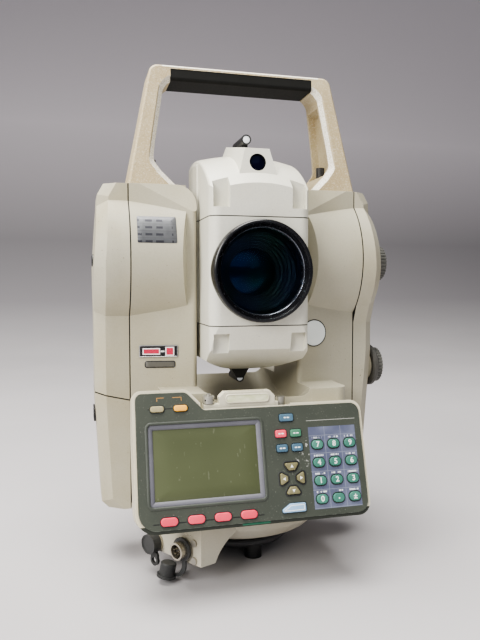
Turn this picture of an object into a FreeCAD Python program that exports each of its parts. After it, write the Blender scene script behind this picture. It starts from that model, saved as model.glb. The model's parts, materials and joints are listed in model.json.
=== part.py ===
"""Surveying total station: an alidade with two standards, a tilting telescope, a front keyboard and a battery.

Millimetres. The origin is on the vertical axis, in the plane of the three lug feet. +Z is up, -Y is the side of
the keyboard and the objective, and +X is the side of the clamps.
"""

import FreeCAD, Part
import math
import os

# ---------------------------------------------------------------- driving dimensions
LEFT_OUT = 102.8          # outer face of the battery side
RIGHT_OUT = 97.5          # outer face of the clamp side
SEAM_X = 80.0             # joint between the yoke and a side cover
SEAM_GAP = 0.3
INNER_X = 35.7            # inner face of a standard
STANDARD_TOP = 255.0
COVER_BOTTOM = 38.0
BATTERY_TOP_IN = 111.5    # top of the battery at the seam
BATTERY_TOP_OUT = 116.8   # and at its outer face
TILT_Z = 197.0            # trunnion axis
SWING_R = 99.0            # free radius left for the turning telescope

STANDARD_Y = 29.0         # half depth of a standard at its inner face
STANDARD_TOP_Y = 23.0
SEAM_Y = 22.0             # half depth at the seams
SEAM_TOP_Y = 21.5
BULGE_Y = 38.3            # half depth at the trunnion bulge
BULGE_LOW = 168.0
BULGE_HIGH = 243.5
BULGE_MID = 206.0
BULGE_X = 42.0            # inner edge of the bulge
WALL = 3.5
COVER_BEVEL = 7.0

DECK_X = 62.0             # lower case between the covers
DECK_FRONT = -56.0
DECK_REAR = 57.0
DECK_BOTTOM = 42.0
DECK_TOP = 120.0
DECK_FILLET = 8.0         # where the deck meets the standards

LUG_R = 6.0
LUG_CIRCLE = 30.0
LUG_HEIGHT = 7.0
LUG_ROOT = 4.0            # depth of the lug's root in the base plate
LUG_ROOT_R = 6.5
PLATE_R = 37.0
PLATE_TOP = 13.5
SPINDLE_R = 12.0
RUNNING_GAP = 0.05
BOWL_BOTTOM = 14.5

HANDLE_TOP = 336.0
HANDLE_TOP_X = 64.0
HANDLE_TOP_Y = 13.0       # half depth at the top
HANDLE_FOOT_X = 80.0
HANDLE_FOOT_Y = 21.8      # half depth at the feet
HAND_GAP = [(48.0, 254.0), (48.0, 255.1), (58.0, 265.0), (63.0, 272.0), (61.5, 284.0), (55.5, 320.0), (51.0, 326.0)]
GRIP_X = 50.5
GRIP_BOTTOM = 326.0
GRIP_TOP = 333.7
GRIP_CORE_Y = 8.0

TUBE_X = 33.2             # half width of the telescope case
TUBE_FRONT = -59.5
TUBE_REAR = 58.0
SHOULDER_Y = 17.0         # rear end of the wide part of the telescope
REAR_X = 24.0             # half width behind it
TUBE_LOW = 162.5
TUBE_HIGH = 231.4
AXLE_R = 14.0
LENS_R = 25.0
RING_R = 32.4
CELL_R = 20.0
COVER_SIDE_R = 77.0       # top cover about the trunnion axis, at its sides
COVER_CROWN_R = 81.5      # and at its middle

PANEL_CENTRE = (-1.25, -79.9, 82.7)
PANEL_LEAN = math.radians(15.93)
PANEL_THICK = 3.0
KEY_PROUD = 1.3
KEY_GAP = 0.25
KEY_ROOT = 5.0

UPPER_KNOB_Z = 204.5
LOWER_KNOB_Z = 127.0
CLAMP_R = 15.5
KNOB_R = 13.0

X = FreeCAD.Vector(1, 0, 0)
Y = FreeCAD.Vector(0, 1, 0)
Z = FreeCAD.Vector(0, 0, 1)
PANEL_UP = FreeCAD.Vector(0, math.sin(PANEL_LEAN), math.cos(PANEL_LEAN))
PANEL_OUT = FreeCAD.Vector(0, -math.cos(PANEL_LEAN), math.sin(PANEL_LEAN))


# ---------------------------------------------------------------- shape helpers
def at(x, y, z):
    return FreeCAD.Vector(x, y, z)


def block(x0, x1, y0, y1, z0, z1):
    return Part.makeBox(x1 - x0, y1 - y0, z1 - z0, at(x0, y0, z0))


def rod(start, axis, radius, length):
    return Part.makeCylinder(radius, length, start, axis)


def tube(start, axis, outer, inner, length):
    return rod(start, axis, outer, length).cut(rod(start, axis, inner, length))


def cone(start, axis, radius_0, radius_1, length):
    return Part.makeCone(radius_0, radius_1, length, start, axis)


def prism(points, travel):
    """A closed outline of vectors, pushed along travel. A point given as a pair (middle, end) makes an arc."""
    edges = []
    here = points[0]
    for item in points[1:] + [points[0]]:
        if isinstance(item, tuple):
            edges.append(Part.Arc(here, item[0], item[1]).toShape())
            here = item[1]
        else:
            if (item - here).Length > 1e-6:
                edges.append(Part.makeLine(here, item))
            here = item
    return Part.Face(Part.Wire(edges)).extrude(travel)


def turned(profile, centre=at(0, 0, 0), axis=Z):
    """Radius and height pairs turned about an axis."""
    wire = Part.makePolygon([at(r, 0, h) for r, h in profile + profile[:1]])
    solid = Part.Face(wire).revolve(at(0, 0, 0), Z, 360)
    solid.Placement = FreeCAD.Placement(centre, FreeCAD.Rotation(Z, axis))
    return Part.makeCompound([solid]).Solids[0]


def fuse(*shapes):
    joined = shapes[0].multiFuse(list(shapes[1:]))
    return joined.removeSplitter()


def mirrored(shape):
    return shape.mirror(at(0, 0, 0), X)


def soft(shape, radius, picks):
    """Rounds the edges that picks accepts."""
    return shape.makeFillet(radius, [edge for edge in shape.Edges if picks(edge)])


def bevel(shape, size, picks):
    return shape.makeChamfer(size, [edge for edge in shape.Edges if picks(edge)])


def along(edge, axis):
    """True for a straight edge that runs along axis."""
    if not isinstance(edge.Curve, Part.Line):
        return False
    return abs(abs(edge.tangentAt(edge.FirstParameter).dot(axis)) - 1) < 1e-6


def middle(edge):
    return edge.valueAt((edge.FirstParameter + edge.LastParameter) / 2)


def ribbed(start, axis, radius, length, ribs, depth):
    """A grip ring with round flutes cut along it."""
    body = rod(start, axis, radius, length)
    side = Y if abs(axis.dot(Y)) < 0.5 else X
    flute = rod(start + side * (radius + depth * 0.6), axis, depth * 1.6, length)
    flutes = []
    for i in range(ribs):
        turned_flute = flute.copy()
        turned_flute.rotate(start, axis, 360.0 * i / ribs)
        flutes.append(turned_flute)
    return body.cut(Part.makeCompound(flutes))


def on_panel(u, v, height=0.0):
    """The point at u across and v up the keyboard face, height above it."""
    return at(*PANEL_CENTRE) + X * u + PANEL_UP * v + PANEL_OUT * height


def panel_prism(outline, low, high):
    """A closed outline of (u, v) points, or ((u, v), (u, v)) arcs, between two heights on the keyboard."""
    points = []
    for item in outline:
        if isinstance(item[0], tuple):
            points.append((on_panel(*item[0], low), on_panel(*item[1], low)))
        else:
            points.append(on_panel(*item, low))
    return prism(points, PANEL_OUT * (high - low))


def rounded_outline(corners, radii):
    """(u, v) corners, each turned into an arc of its own radius."""
    outline = []
    count = len(corners)
    for i, (u, v) in enumerate(corners):
        before = corners[i - 1]
        after = corners[(i + 1) % count]
        into = (before[0] - u, before[1] - v)
        out = (after[0] - u, after[1] - v)
        long_in = math.hypot(*into)
        long_out = math.hypot(*out)
        into = (into[0] / long_in, into[1] / long_in)
        out = (out[0] / long_out, out[1] / long_out)
        half = math.acos(max(-1.0, min(1.0, into[0] * out[0] + into[1] * out[1]))) / 2
        setback = radii[i] / math.tan(half)
        first = (u + into[0] * setback, v + into[1] * setback)
        last = (u + out[0] * setback, v + out[1] * setback)
        split = (into[0] + out[0], into[1] + out[1])
        split_long = math.hypot(*split)
        reach = radii[i] / math.sin(half) - radii[i]
        crown = (u + split[0] / split_long * reach, v + split[1] / split_long * reach)
        outline.append(first)
        outline.append((crown, last))
    return outline


def rounded_box(u, v, width, height, radius):
    """A rounded rectangle's outline, centred on u, v."""
    w, h = width / 2, height / 2
    corners = [(u - w, v - h), (u + w, v - h), (u + w, v + h), (u - w, v + h)]
    return rounded_outline(corners, [radius] * 4)


# ---------------------------------------------------------------- base: lugs, plate, spindle
def lug_places():
    for i in range(3):
        angle = math.radians(-85 + 120 * i)
        yield LUG_CIRCLE * math.cos(angle), LUG_CIRCLE * math.sin(angle)


def lug_pins():
    pins = []
    for x, y in lug_places():
        root = rod(at(x, y, LUG_HEIGHT), Z, LUG_ROOT_R, LUG_ROOT)
        pins.append(rod(at(x, y, 0), Z, LUG_R, LUG_HEIGHT).fuse(root))
    return pins


def base_plate():
    low = LUG_HEIGHT
    profile = [(SPINDLE_R, low), (PLATE_R - 4, low), (PLATE_R, low + 3.5), (PLATE_R, PLATE_TOP - 1),
               (PLATE_R - 1, PLATE_TOP), (SPINDLE_R, PLATE_TOP)]
    plate = turned(profile)
    for x, y in lug_places():
        plate = plate.cut(rod(at(x, y, 0), Z, LUG_ROOT_R, LUG_HEIGHT + LUG_ROOT))
    return [plate]


CIRCLE_Z = 30.0
CIRCLE_R = 42.0


def spindle_and_circle():
    bore = 8.0
    top = 78.0
    flange_r = 18.0
    profile = [(bore, LUG_HEIGHT), (SPINDLE_R, LUG_HEIGHT), (SPINDLE_R, CIRCLE_Z - 4), (flange_r, CIRCLE_Z - 4),
               (flange_r, CIRCLE_Z), (SPINDLE_R, CIRCLE_Z), (SPINDLE_R, top), (bore, top)]
    circle = tube(at(0, 0, CIRCLE_Z), Z, CIRCLE_R, SPINDLE_R, 3.0)
    return [turned(profile), circle]


# ---------------------------------------------------------------- yoke: two standards on a deck
def standard_outline(x):
    """Side outline of the flat part of a standard."""
    bend = BULGE_HIGH - 8
    return [at(x, -STANDARD_Y, COVER_BOTTOM), at(x, -STANDARD_Y, bend), at(x, -STANDARD_TOP_Y, STANDARD_TOP),
            at(x, STANDARD_TOP_Y, STANDARD_TOP), at(x, STANDARD_Y, bend), at(x, STANDARD_Y, COVER_BOTTOM)]


def bulge_outline(x):
    """Side outline at the seam, with the round swelling over the trunnion."""
    return [at(x, -SEAM_Y, COVER_BOTTOM), at(x, -SEAM_Y, BULGE_LOW),
            (at(x, -BULGE_Y, BULGE_MID), at(x, -SEAM_TOP_Y - 0.3, BULGE_HIGH)), at(x, -SEAM_TOP_Y, STANDARD_TOP),
            at(x, SEAM_TOP_Y, STANDARD_TOP), at(x, SEAM_TOP_Y + 0.3, BULGE_HIGH),
            (at(x, BULGE_Y, BULGE_MID), at(x, SEAM_Y, BULGE_LOW)), at(x, SEAM_Y, COVER_BOTTOM)]


def plan_between(x0, y0, x1, y1):
    """A tall block whose half depth goes from y0 at x0 to y1 at x1."""
    return prism([at(x0, -y0, 0), at(x1, -y1, 0), at(x1, y1, 0), at(x0, y0, 0)], Z * (STANDARD_TOP + 1))


def right_standard():
    plain = prism(standard_outline(INNER_X), X * (SEAM_X - INNER_X))
    plain = plain.common(plan_between(INNER_X, STANDARD_Y, SEAM_X, SEAM_Y))
    plain = soft(plain, 13.0, lambda e: along(e, Y) and middle(e).x < INNER_X + 0.1 and middle(e).z > 254)
    plain = soft(plain, 3.0, lambda e: along(e, Z) and middle(e).x < INNER_X + 0.1)
    bulge = prism(bulge_outline(BULGE_X), X * (SEAM_X - BULGE_X))
    slope = plan_between(BULGE_X, STANDARD_Y - 3, BULGE_X + 5, BULGE_Y + 0.5)
    plan = slope.fuse(plan_between(BULGE_X + 5, BULGE_Y + 0.5, SEAM_X, BULGE_Y + 0.5)).removeSplitter()
    return plain.fuse(bulge.common(plan))


def trunnion_pocket():
    """The hollow inside the right standard, open towards its cover."""
    pocket = block(INNER_X + 12, SEAM_X, WALL - SEAM_Y, SEAM_Y - WALL, 126, 246)
    return soft(pocket, 4.0, lambda e: along(e, X))


def deck():
    case = block(-DECK_X, DECK_X, DECK_FRONT, DECK_REAR, DECK_BOTTOM, DECK_TOP)
    case = soft(case, 8.0, lambda e: along(e, Z))
    wings = block(-SEAM_X, SEAM_X, -SEAM_Y, SEAM_Y, DECK_BOTTOM, DECK_TOP)
    hollow = block(-SEAM_X + 10, SEAM_X - 10, -SEAM_Y + WALL, SEAM_Y - WALL, DECK_BOTTOM - 1, 92)
    hollow = hollow.fuse(block(-DECK_X + 5, DECK_X - 5, DECK_FRONT + 5, DECK_REAR - 5, DECK_BOTTOM - 1, 90))
    sleeve = rod(at(0, 0, DECK_BOTTOM + 4), Z, SPINDLE_R + 9, 60)
    return case.fuse(wings).cut(hollow).fuse(sleeve)


def swing_room():
    """The drum of air that the telescope turns over in, with rounded rims."""
    room = rod(at(-INNER_X, 0, TILT_Z), X, SWING_R, 2 * INNER_X)
    return soft(room, DECK_FILLET, lambda e: isinstance(e.Curve, Part.Circle))


def yoke_frame():
    """The bridge with the bearing sleeve, and the two standards that are bolted to its ends."""
    frame = fuse(deck(), right_standard(), mirrored(right_standard()))
    frame = frame.cut(swing_room())
    frame = frame.cut(trunnion_pocket()).cut(mirrored(trunnion_pocket()))
    frame = frame.cut(rod(at(-SEAM_X, 0, TILT_Z), X, AXLE_R + RUNNING_GAP, 2 * SEAM_X))
    frame = frame.cut(rod(at(0, 0, DECK_BOTTOM - 2), Z, SPINDLE_R + RUNNING_GAP, 38))
    frame = frame.cut(plummet_seat())
    frame = frame.cut(block(-SEAM_X - 1, SEAM_X + 1, -60, 60, 0, DECK_BOTTOM))
    for screw in rear_screws() + handle_screws():
        frame = frame.cut(screw)
    bridge = block(-INNER_X, INNER_X, DECK_FRONT - 1, DECK_REAR + 1, 0, STANDARD_TOP)
    return [frame.common(bridge)] + frame.cut(bridge).Solids


# ---------------------------------------------------------------- side covers and battery
def cover_form(out, foot_taper, foot_top):
    """A bevelled side cover on +X, whose outer face draws in towards its foot and its top."""
    start = SEAM_X + SEAM_GAP
    foot = out - foot_taper
    side = prism(bulge_outline(start), X * (out - start))
    front = prism([at(start, -60, COVER_BOTTOM), at(foot - 4.5, -60, COVER_BOTTOM), at(foot, -60, COVER_BOTTOM + 4.5),
                   at(out, -60, foot_top), at(out, -60, 200), at(out - 3, -60, 248), at(out - 7, -60, STANDARD_TOP),
                   at(start, -60, STANDARD_TOP)], Y * 120)
    return bevel(side.common(front), COVER_BEVEL, lambda e: middle(e).x > out - 9 and abs(middle(e).y) > 15)


def right_cover():
    cover = cover_form(RIGHT_OUT, 7.5, 140.0)
    pocket = block(SEAM_X, RIGHT_OUT - 10, -SEAM_TOP_Y + WALL, SEAM_TOP_Y - WALL,
                   COVER_BOTTOM + WALL, STANDARD_TOP - WALL)
    cover = cover.cut(pocket)
    for height in (UPPER_KNOB_Z, LOWER_KNOB_Z):
        boss = rod(at(RIGHT_OUT - 8, 0, height), X, BOSS_R, CLAMP_START - RUNNING_GAP - RIGHT_OUT + 8)
        cover = cover.fuse(boss).cut(rod(at(SEAM_X, 0, height), X, KNOB_SHAFT_R + RUNNING_GAP, 40))
    return cover


def battery_side(z_shift, top):
    """Half-space block on +X between the battery's sloping top, moved up by z_shift, and a level top."""
    return prism([at(SEAM_X, -60, BATTERY_TOP_IN + z_shift), at(LEFT_OUT, -60, BATTERY_TOP_OUT + z_shift),
                  at(LEFT_OUT + 1, -60, BATTERY_TOP_OUT + z_shift), at(LEFT_OUT + 1, -60, top),
                  at(SEAM_X, -60, top)], Y * 120)


def left_cover():
    cover = cover_form(LEFT_OUT, 3.6, 112.0).common(battery_side(SEAM_GAP, STANDARD_TOP + 1))
    pocket = block(SEAM_X, LEFT_OUT - 10, -SEAM_TOP_Y + WALL, SEAM_TOP_Y - WALL,
                   BATTERY_TOP_OUT + WALL, STANDARD_TOP - WALL)
    return mirrored(cover.cut(pocket))


def side_covers():
    return [right_cover(), left_cover()]


LATCH_Z = 100.0
LATCH_TRAVEL = 3.0


def battery_pack():
    pack = mirrored(cover_form(LEFT_OUT, 3.6, 112.0).common(battery_side(0, 0)))
    pack = pack.cut(block(-LEFT_OUT - 1, -LEFT_OUT + 5, -9, 9, LATCH_Z - 5 - LATCH_TRAVEL, LATCH_Z + 5))
    return [pack]


def battery_latch():
    latch = block(-LEFT_OUT - 0.8, -LEFT_OUT + 4.6, -8.5, 8.5, LATCH_Z - 4, LATCH_Z + 4.5)
    ribs = [block(-LEFT_OUT - 2, -LEFT_OUT, -8.5, 8.5, LATCH_Z - 2.5 + 2.2 * i, LATCH_Z - 1.5 + 2.2 * i)
            for i in range(3)]
    return [latch.cut(Part.makeCompound(ribs))]


# ---------------------------------------------------------------- lower housing with the connector corner
FACET_CORNER = (-42.0, -70.0)
FACET_END = (-68.5, -31.0)
FACET_BOTTOM = 14.0
FACET_TOP = 43.0


def facet_frame():
    """Unit vectors along and out of the connector facet."""
    run = FreeCAD.Vector(FACET_END[0] - FACET_CORNER[0], FACET_END[1] - FACET_CORNER[1], 0)
    length = run.Length
    run.normalize()
    return run, FreeCAD.Vector(run.y, -run.x, 0) * -1, length


def facet_point(along_facet, height, out=0.0):
    run, normal, _ = facet_frame()
    return at(FACET_CORNER[0], FACET_CORNER[1], height) + run * along_facet + normal * out


def connector_block():
    corner = at(*FACET_CORNER, FACET_BOTTOM)
    end = at(*FACET_END, FACET_BOTTOM)
    outline = [corner, end, at(-50, 0, FACET_BOTTOM), at(-18, 0, FACET_BOTTOM), at(-14, -58, FACET_BOTTOM)]
    body = prism(outline, Z * (FACET_TOP - FACET_BOTTOM))
    hollow = rod(at(-4, -90, 3), Y, 30, 100)
    over_plate = rod(at(0, 0, 0), Z, PLATE_R + 2, PLATE_TOP + 1)
    return body.cut(hollow.fuse(over_plate))


def lower_housing():
    bowl = turned([(SPINDLE_R + 3, BOWL_BOTTOM), (36.0, BOWL_BOTTOM), (52.0, 21.5), (61.0, 30.0), (64.0, 41.5),
                   (SPINDLE_R + 3, 41.5)])
    corner = connector_block()
    tray = block(-DECK_X, DECK_X, DECK_FRONT, DECK_REAR, 36.0, DECK_BOTTOM - 0.2)
    tray = soft(tray, 8.0, lambda e: along(e, Z))
    tray = tray.fuse(block(-SEAM_X, SEAM_X, -SEAM_Y, SEAM_Y, 38.0, DECK_BOTTOM - 0.2))
    corner = corner.common(block(-100, 100, -100, 100, 0, DECK_BOTTOM - 0.2))
    shape = fuse(bowl, corner, tray)
    room = rod(at(0, 0, CIRCLE_Z - 6), Z, CIRCLE_R + 2, 8)
    room = room.fuse(rod(at(0, 0, CIRCLE_Z + 2), Z, CIRCLE_R + 2, 20))
    shape = shape.cut(room)
    shape = shape.cut(rod(at(0, 0, 0), Z, SPINDLE_R + 3, 60))
    _, normal, _ = facet_frame()
    for start, _ in socket_places():
        shape = shape.cut(rod(start - normal * SOCKET_ROOT, normal, SOCKET_R, SOCKET_ROOT + 1))
    for screw in connector_screws():
        shape = shape.cut(screw)
    return [shape]


SOCKET_ROOT = 8.0
SOCKET_R = 5.4
SOCKET_WALL = 1.1
FLANGE_R = 6.2
DATA_SOCKET = (14.2, 22.6)       # along the facet, height
POWER_SOCKET = (40.6, 20.0)


def socket_places():
    """Start on the facet, and length, of the data socket and the power socket."""
    yield facet_point(*DATA_SOCKET), 8.0
    yield facet_point(*POWER_SOCKET), 5.0


def sockets():
    made = []
    _, normal, _ = facet_frame()
    for start, length in socket_places():
        body = rod(start - normal * SOCKET_ROOT, normal, SOCKET_R, SOCKET_ROOT + length)
        flange = rod(start, normal, FLANGE_R, 1.8)
        hollow = rod(start + normal * 1.0, normal, SOCKET_R - SOCKET_WALL, length)
        made.append(body.fuse(flange).cut(hollow))
    return made


CAP_R = 6.4
CAP_TAB = (38.4, 9.2)            # along the facet, height
CAP_HANG = (24.5, 3.4, 6.8)      # foot of the hanging cap: along the facet, height, out of it
CAP_LONG = 9.2


def closed_cap():
    """The rubber cap pushed over the power socket, with its pull ring."""
    _, normal, _ = facet_frame()
    power, length = list(socket_places())[1]
    cap = rod(power + normal * 1.8, normal, CAP_R, length + 0.8)
    rim = tube(power + normal * (length + 2.6), normal, CAP_R, CAP_R - 0.8, 0.5)
    ring_centre = facet_point(*CAP_TAB, 3.0)
    ring = rod(ring_centre, normal, 3.6, 1.8).fuse(rod(ring_centre + Z * 2.6, normal, 3.2, 1.8))
    ring = ring.cut(rod(ring_centre - normal, normal, 2.0, 4.0))
    return fuse(cap, rim, ring).cut(rod(power, normal, SOCKET_R, length))


def hanging_cap():
    """The data socket's cap, which stands on its rim and hangs by a curved strap looped round the socket."""
    _, normal, _ = facet_frame()
    data = facet_point(*DATA_SOCKET)
    loop = tube(data + normal * 1.8, normal, SOCKET_R + 2.0, SOCKET_R + 0.05, 1.6)
    foot = facet_point(*CAP_HANG)
    axis = Z + X * 0.2
    axis.normalize()
    cup = turned([(0, 0), (CAP_R - 0.2, 0), (CAP_R - 0.2, 1.6), (5.0, 2.0), (5.0, CAP_LONG - 0.6), (4.4, CAP_LONG),
                  (0, CAP_LONG)], foot, axis)
    hollow = rod(foot - axis, axis, 4.0, CAP_LONG - 0.8)
    band = prism([facet_point(11.2, 17.6, 2.0), (facet_point(11.4, 9.6, 2.0), facet_point(21.0, 3.6, 2.0)),
                  facet_point(21.4, 5.2, 2.0), (facet_point(14.4, 10.2, 2.0), facet_point(14.6, 17.0, 2.0))],
                 normal * 1.3)
    band = band.cut(rod(data, normal, SOCKET_R + 0.05, 9))
    return fuse(loop, band, cup).cut(hollow)


def socket_caps():
    return [closed_cap(), hanging_cap()]


def connector_screws():
    _, normal, _ = facet_frame()
    heads = []
    for height in (27.9, 16.8):
        start = facet_point(5.6, height)
        heads.append(rod(start, normal, 2.3, 1.3).fuse(rod(start - normal * 6, normal, 1.4, 6)))
    return heads


def rear_screws():
    made = []
    for x in (-52.0, 52.0):
        for z in (54.0, 98.0):
            start = at(x, DECK_REAR, z)
            made.append(rod(start, Y, 3.0, 1.4).fuse(rod(start - Y * 4.9, Y, 1.6, 4.9)))
    return made


HANDLE_SCREW = (62.5, -1.0)      # across, and front to back
LEG_FLOOR = 266.5


def handle_screws():
    """Knurled lock screws that stand in the hollow of each leg and hold the handle down on the standards."""
    made = []
    for side in (-1, 1):
        x = HANDLE_SCREW[0] * side
        head = ribbed(at(x, HANDLE_SCREW[1], LEG_FLOOR), Z, 3.1, 8.0, 14, 0.3)
        made.append(head.fuse(rod(at(x, HANDLE_SCREW[1], LEG_FLOOR - 18), Z, 2.0, 18)))
    return made


def case_screws():
    return connector_screws() + rear_screws() + handle_screws()


# ---------------------------------------------------------------- handle
HANDLE_FOOT = STANDARD_TOP + 0.1


def handle_depth(inset=0.0):
    """The handle's side outline, deep at the feet and slim at the top, as a wide wedge."""
    low = HANDLE_FOOT_Y - inset
    high = HANDLE_TOP_Y - inset
    return prism([at(-100, -low, HANDLE_FOOT), at(-100, -high, HANDLE_TOP), at(-100, high, HANDLE_TOP),
                  at(-100, low, HANDLE_FOOT)], X * 200)


def leg_hollow():
    """The channel in the inner side of the right leg."""
    channel = prism([at(50, -60, LEG_FLOOR), at(69.0, -60, LEG_FLOOR), at(68.6, -60, 274), at(62.4, -60, 312),
                     at(50, -60, 319)], Y * 120)
    return channel.common(handle_depth(5.5))


def handle_frame():
    outer = prism([at(-HANDLE_FOOT_X, -60, HANDLE_FOOT), at(HANDLE_FOOT_X, -60, HANDLE_FOOT),
                   at(HANDLE_TOP_X, -60, HANDLE_TOP), at(-HANDLE_TOP_X, -60, HANDLE_TOP)], Y * 120)
    outer = soft(outer, 6.5, lambda e: along(e, Y) and middle(e).z > HANDLE_TOP - 1)
    right = [at(x, -60, z) for x, z in HAND_GAP]
    left = [at(-x, -60, z) for x, z in reversed(HAND_GAP)]
    gap = soft(prism(right + left, Y * 120), 7.0, lambda e: along(e, Y) and middle(e).z > HANDLE_FOOT + 2)
    frame = outer.common(handle_depth())
    frame = bevel(frame, 1.2, lambda e: middle(e).z > HANDLE_FOOT + 1 and abs(middle(e).y) > HANDLE_TOP_Y - 0.1)
    frame = frame.cut(gap)
    frame = bevel(frame, 3.5, lambda e: abs(middle(e).x) < 63.5 and HANDLE_FOOT + 2 < middle(e).z < GRIP_BOTTOM + 1
                  and abs(middle(e).y) > HANDLE_TOP_Y)
    seat = block(-GRIP_X, GRIP_X, -HANDLE_FOOT_Y, HANDLE_FOOT_Y, GRIP_BOTTOM - 1, GRIP_TOP)
    core = block(-GRIP_X, GRIP_X, -GRIP_CORE_Y, GRIP_CORE_Y, GRIP_BOTTOM + 2.5, GRIP_TOP)
    frame = fuse(frame.cut(seat), core)
    frame = frame.cut(leg_hollow()).cut(mirrored(leg_hollow()))
    for screw in handle_screws():
        frame = frame.cut(screw)
    return [frame]


def handle_grip():
    grip = block(-GRIP_X + 0.1, GRIP_X - 0.1, -HANDLE_FOOT_Y, HANDLE_FOOT_Y, GRIP_BOTTOM, GRIP_TOP - 0.05)
    grip = soft(grip.common(handle_depth(0.3)), 2.0, lambda e: along(e, X) and middle(e).z < GRIP_BOTTOM + 0.1)
    return [grip.cut(block(-GRIP_X, GRIP_X, -GRIP_CORE_Y, GRIP_CORE_Y, GRIP_BOTTOM + 2.5, GRIP_TOP))]


# ---------------------------------------------------------------- keyboard
FACE_CORNERS = [(-80.2, -36.8), (62.5, -36.8), (62.5, 31.0), (-39.0, 31.0), (-49.5, 42.4), (-80.0, 42.4)]
FACE_RADII = [11.0, 7.0, 6.0, 3.0, 5.0, 4.0]


def face_outline(grow=0.0):
    corners = []
    for u, v in FACE_CORNERS:
        du = grow if u > 0 else -grow
        if u > -60 and u < 0:
            du = grow * 0.4
        dv = grow if v > 0 else -grow
        corners.append((u + du, v + dv))
    return rounded_outline(corners, [radius + grow * 0.6 for radius in FACE_RADII])


ARROW_U = 13.8            # middle of the four arrow keys
ARROW_V = -13.3


def panel_keys():
    """Name, centre u, v and outline of every key."""
    keys = []
    for name, u in (("key_backlight", -67.3), ("key_power", -53.1)):
        keys.append((name, rounded_box(u, 32.85, 8.2, 3.6, 1.6)))
    for i in range(4):
        keys.append((f"key_soft_{i + 1}", rounded_box(-62.8 + 15.9 * i, -32.0, 10.0, 4.8, 2.3)))
    for name, u, v, width in (("key_mode", 12.9, 23.7, 9.0), ("key_function", 8.6, 14.0, 7.0),
                              ("key_shift", 18.3, 13.9, 7.0), ("key_delete", 8.8, 5.1, 7.0),
                              ("key_clear", 18.6, 5.1, 7.0)):
        keys.append((name, rounded_box(u, v, width, 4.6, 1.2)))
    for name, turn in (("key_up", 0), ("key_left", 90), ("key_down", 180), ("key_right", 270)):
        tall = turn in (0, 180)
        near, near_half, far, far_half = (4.8, 1.9, 9.4, 5.0) if tall else (2.9, 1.3, 7.7, 4.1)
        corners = [(-far_half, far), (-near_half, near), (near_half, near), (far_half, far)]
        spin = math.radians(turn)
        placed = [(ARROW_U + a * math.cos(spin) - b * math.sin(spin),
                   ARROW_V + a * math.sin(spin) + b * math.cos(spin)) for a, b in corners]
        keys.append((name, rounded_outline(placed, [0.9] * 4)))
    keys.append(("key_enter", rounded_outline([(6.0, -33.2), (20.8, -33.2), (20.8, -28.0), (11.0, -28.0),
                                               (6.0, -31.2)], [0.8, 0.8, 0.8, 1.2, 0.8])))
    digits = (("key_7", "key_8", "key_9"), ("key_4", "key_5", "key_6"), ("key_1", "key_2", "key_3"),
              ("key_0", "key_point", "key_sign"))
    for row, names in enumerate(digits):
        for column, name in enumerate(names):
            keys.append((name, rounded_box(32.0 + 10.9 * column, 6.0 - 11.0 * row, 7.4, 5.4, 2.6)))
    return keys


def grown(outline, grow):
    """The same outline, a little larger about its own middle."""
    spots = [item[1] if isinstance(item[0], tuple) else item for item in outline]
    cu = (min(u for u, _ in spots) + max(u for u, _ in spots)) / 2
    cv = (min(v for _, v in spots) + max(v for _, v in spots)) / 2
    wide = (max(u for u, _ in spots) - min(u for u, _ in spots)) / 2
    tall = (max(v for _, v in spots) - min(v for _, v in spots)) / 2

    def move(spot):
        return cu + (spot[0] - cu) * (1 + grow / wide), cv + (spot[1] - cv) * (1 + grow / tall)

    return [(move(item[0]), move(item[1])) if isinstance(item[0], tuple) else move(item) for item in outline]


SCREEN = (-38.6, 0.0, 69.6, 47.2)


def panel_face():
    face = panel_prism(face_outline(), -PANEL_THICK, 0.0)
    face = face.cut(panel_prism(rounded_box(*SCREEN, 1.5), -PANEL_THICK - 1, 1.0))
    holes = [panel_prism(grown(outline, KEY_GAP), -PANEL_THICK - 1, 1.0) for _, outline in panel_keys()]
    return [face.cut(Part.makeCompound(holes))]


def display_glass():
    u, v, width, height = SCREEN
    return [panel_prism(rounded_box(u, v, width - 0.2, height - 0.2, 1.4), -3.0, -1.4)]


HOUSING_DEPTH = 20.0


def panel_housing():
    shell = panel_prism(face_outline(1.9), -HOUSING_DEPTH, -1.2)
    neck = block(-60, 60, DECK_FRONT - 16, DECK_FRONT, 46, 108)
    shell = shell.fuse(neck)
    shell = shell.cut(block(-90, 90, DECK_FRONT, 60, 0, 140))
    shell = shell.cut(panel_prism(face_outline(0.15), -PANEL_THICK - 0.05, 5.0))
    return shell


def panel_housing_shell():
    shell = panel_housing()
    room = panel_prism(face_outline(-1.5), -HOUSING_DEPTH + 6.0, -PANEL_THICK + 0.5)
    shell = shell.cut(room)
    rim = panel_prism(face_outline(6.0), -2.4, 2.0).cut(panel_prism(face_outline(1.9), -3.4, 3.0))
    shell = shell.cut(rim)
    return [shell.cut(swing_room()).cut(level_seat())]


def key_solid(outline):
    return panel_prism(outline, -PANEL_THICK - KEY_ROOT + 3.0, KEY_PROUD)


# ---------------------------------------------------------------- plate level
LEVEL_X = -12.0
LEVEL_Y = -65.4
LEVEL_LOW = 111.6
LEVEL_TOP = 122.3
LEVEL_HALF = 17.8
LEVEL_DEEP = 3.0
NUT_X = -36.0
PIVOT_X = 10.8


def level_seat():
    return block(NUT_X - 6, PIVOT_X + 5, LEVEL_Y - 4.6, LEVEL_Y + 4.6, LEVEL_LOW, LEVEL_TOP + 10)


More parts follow.
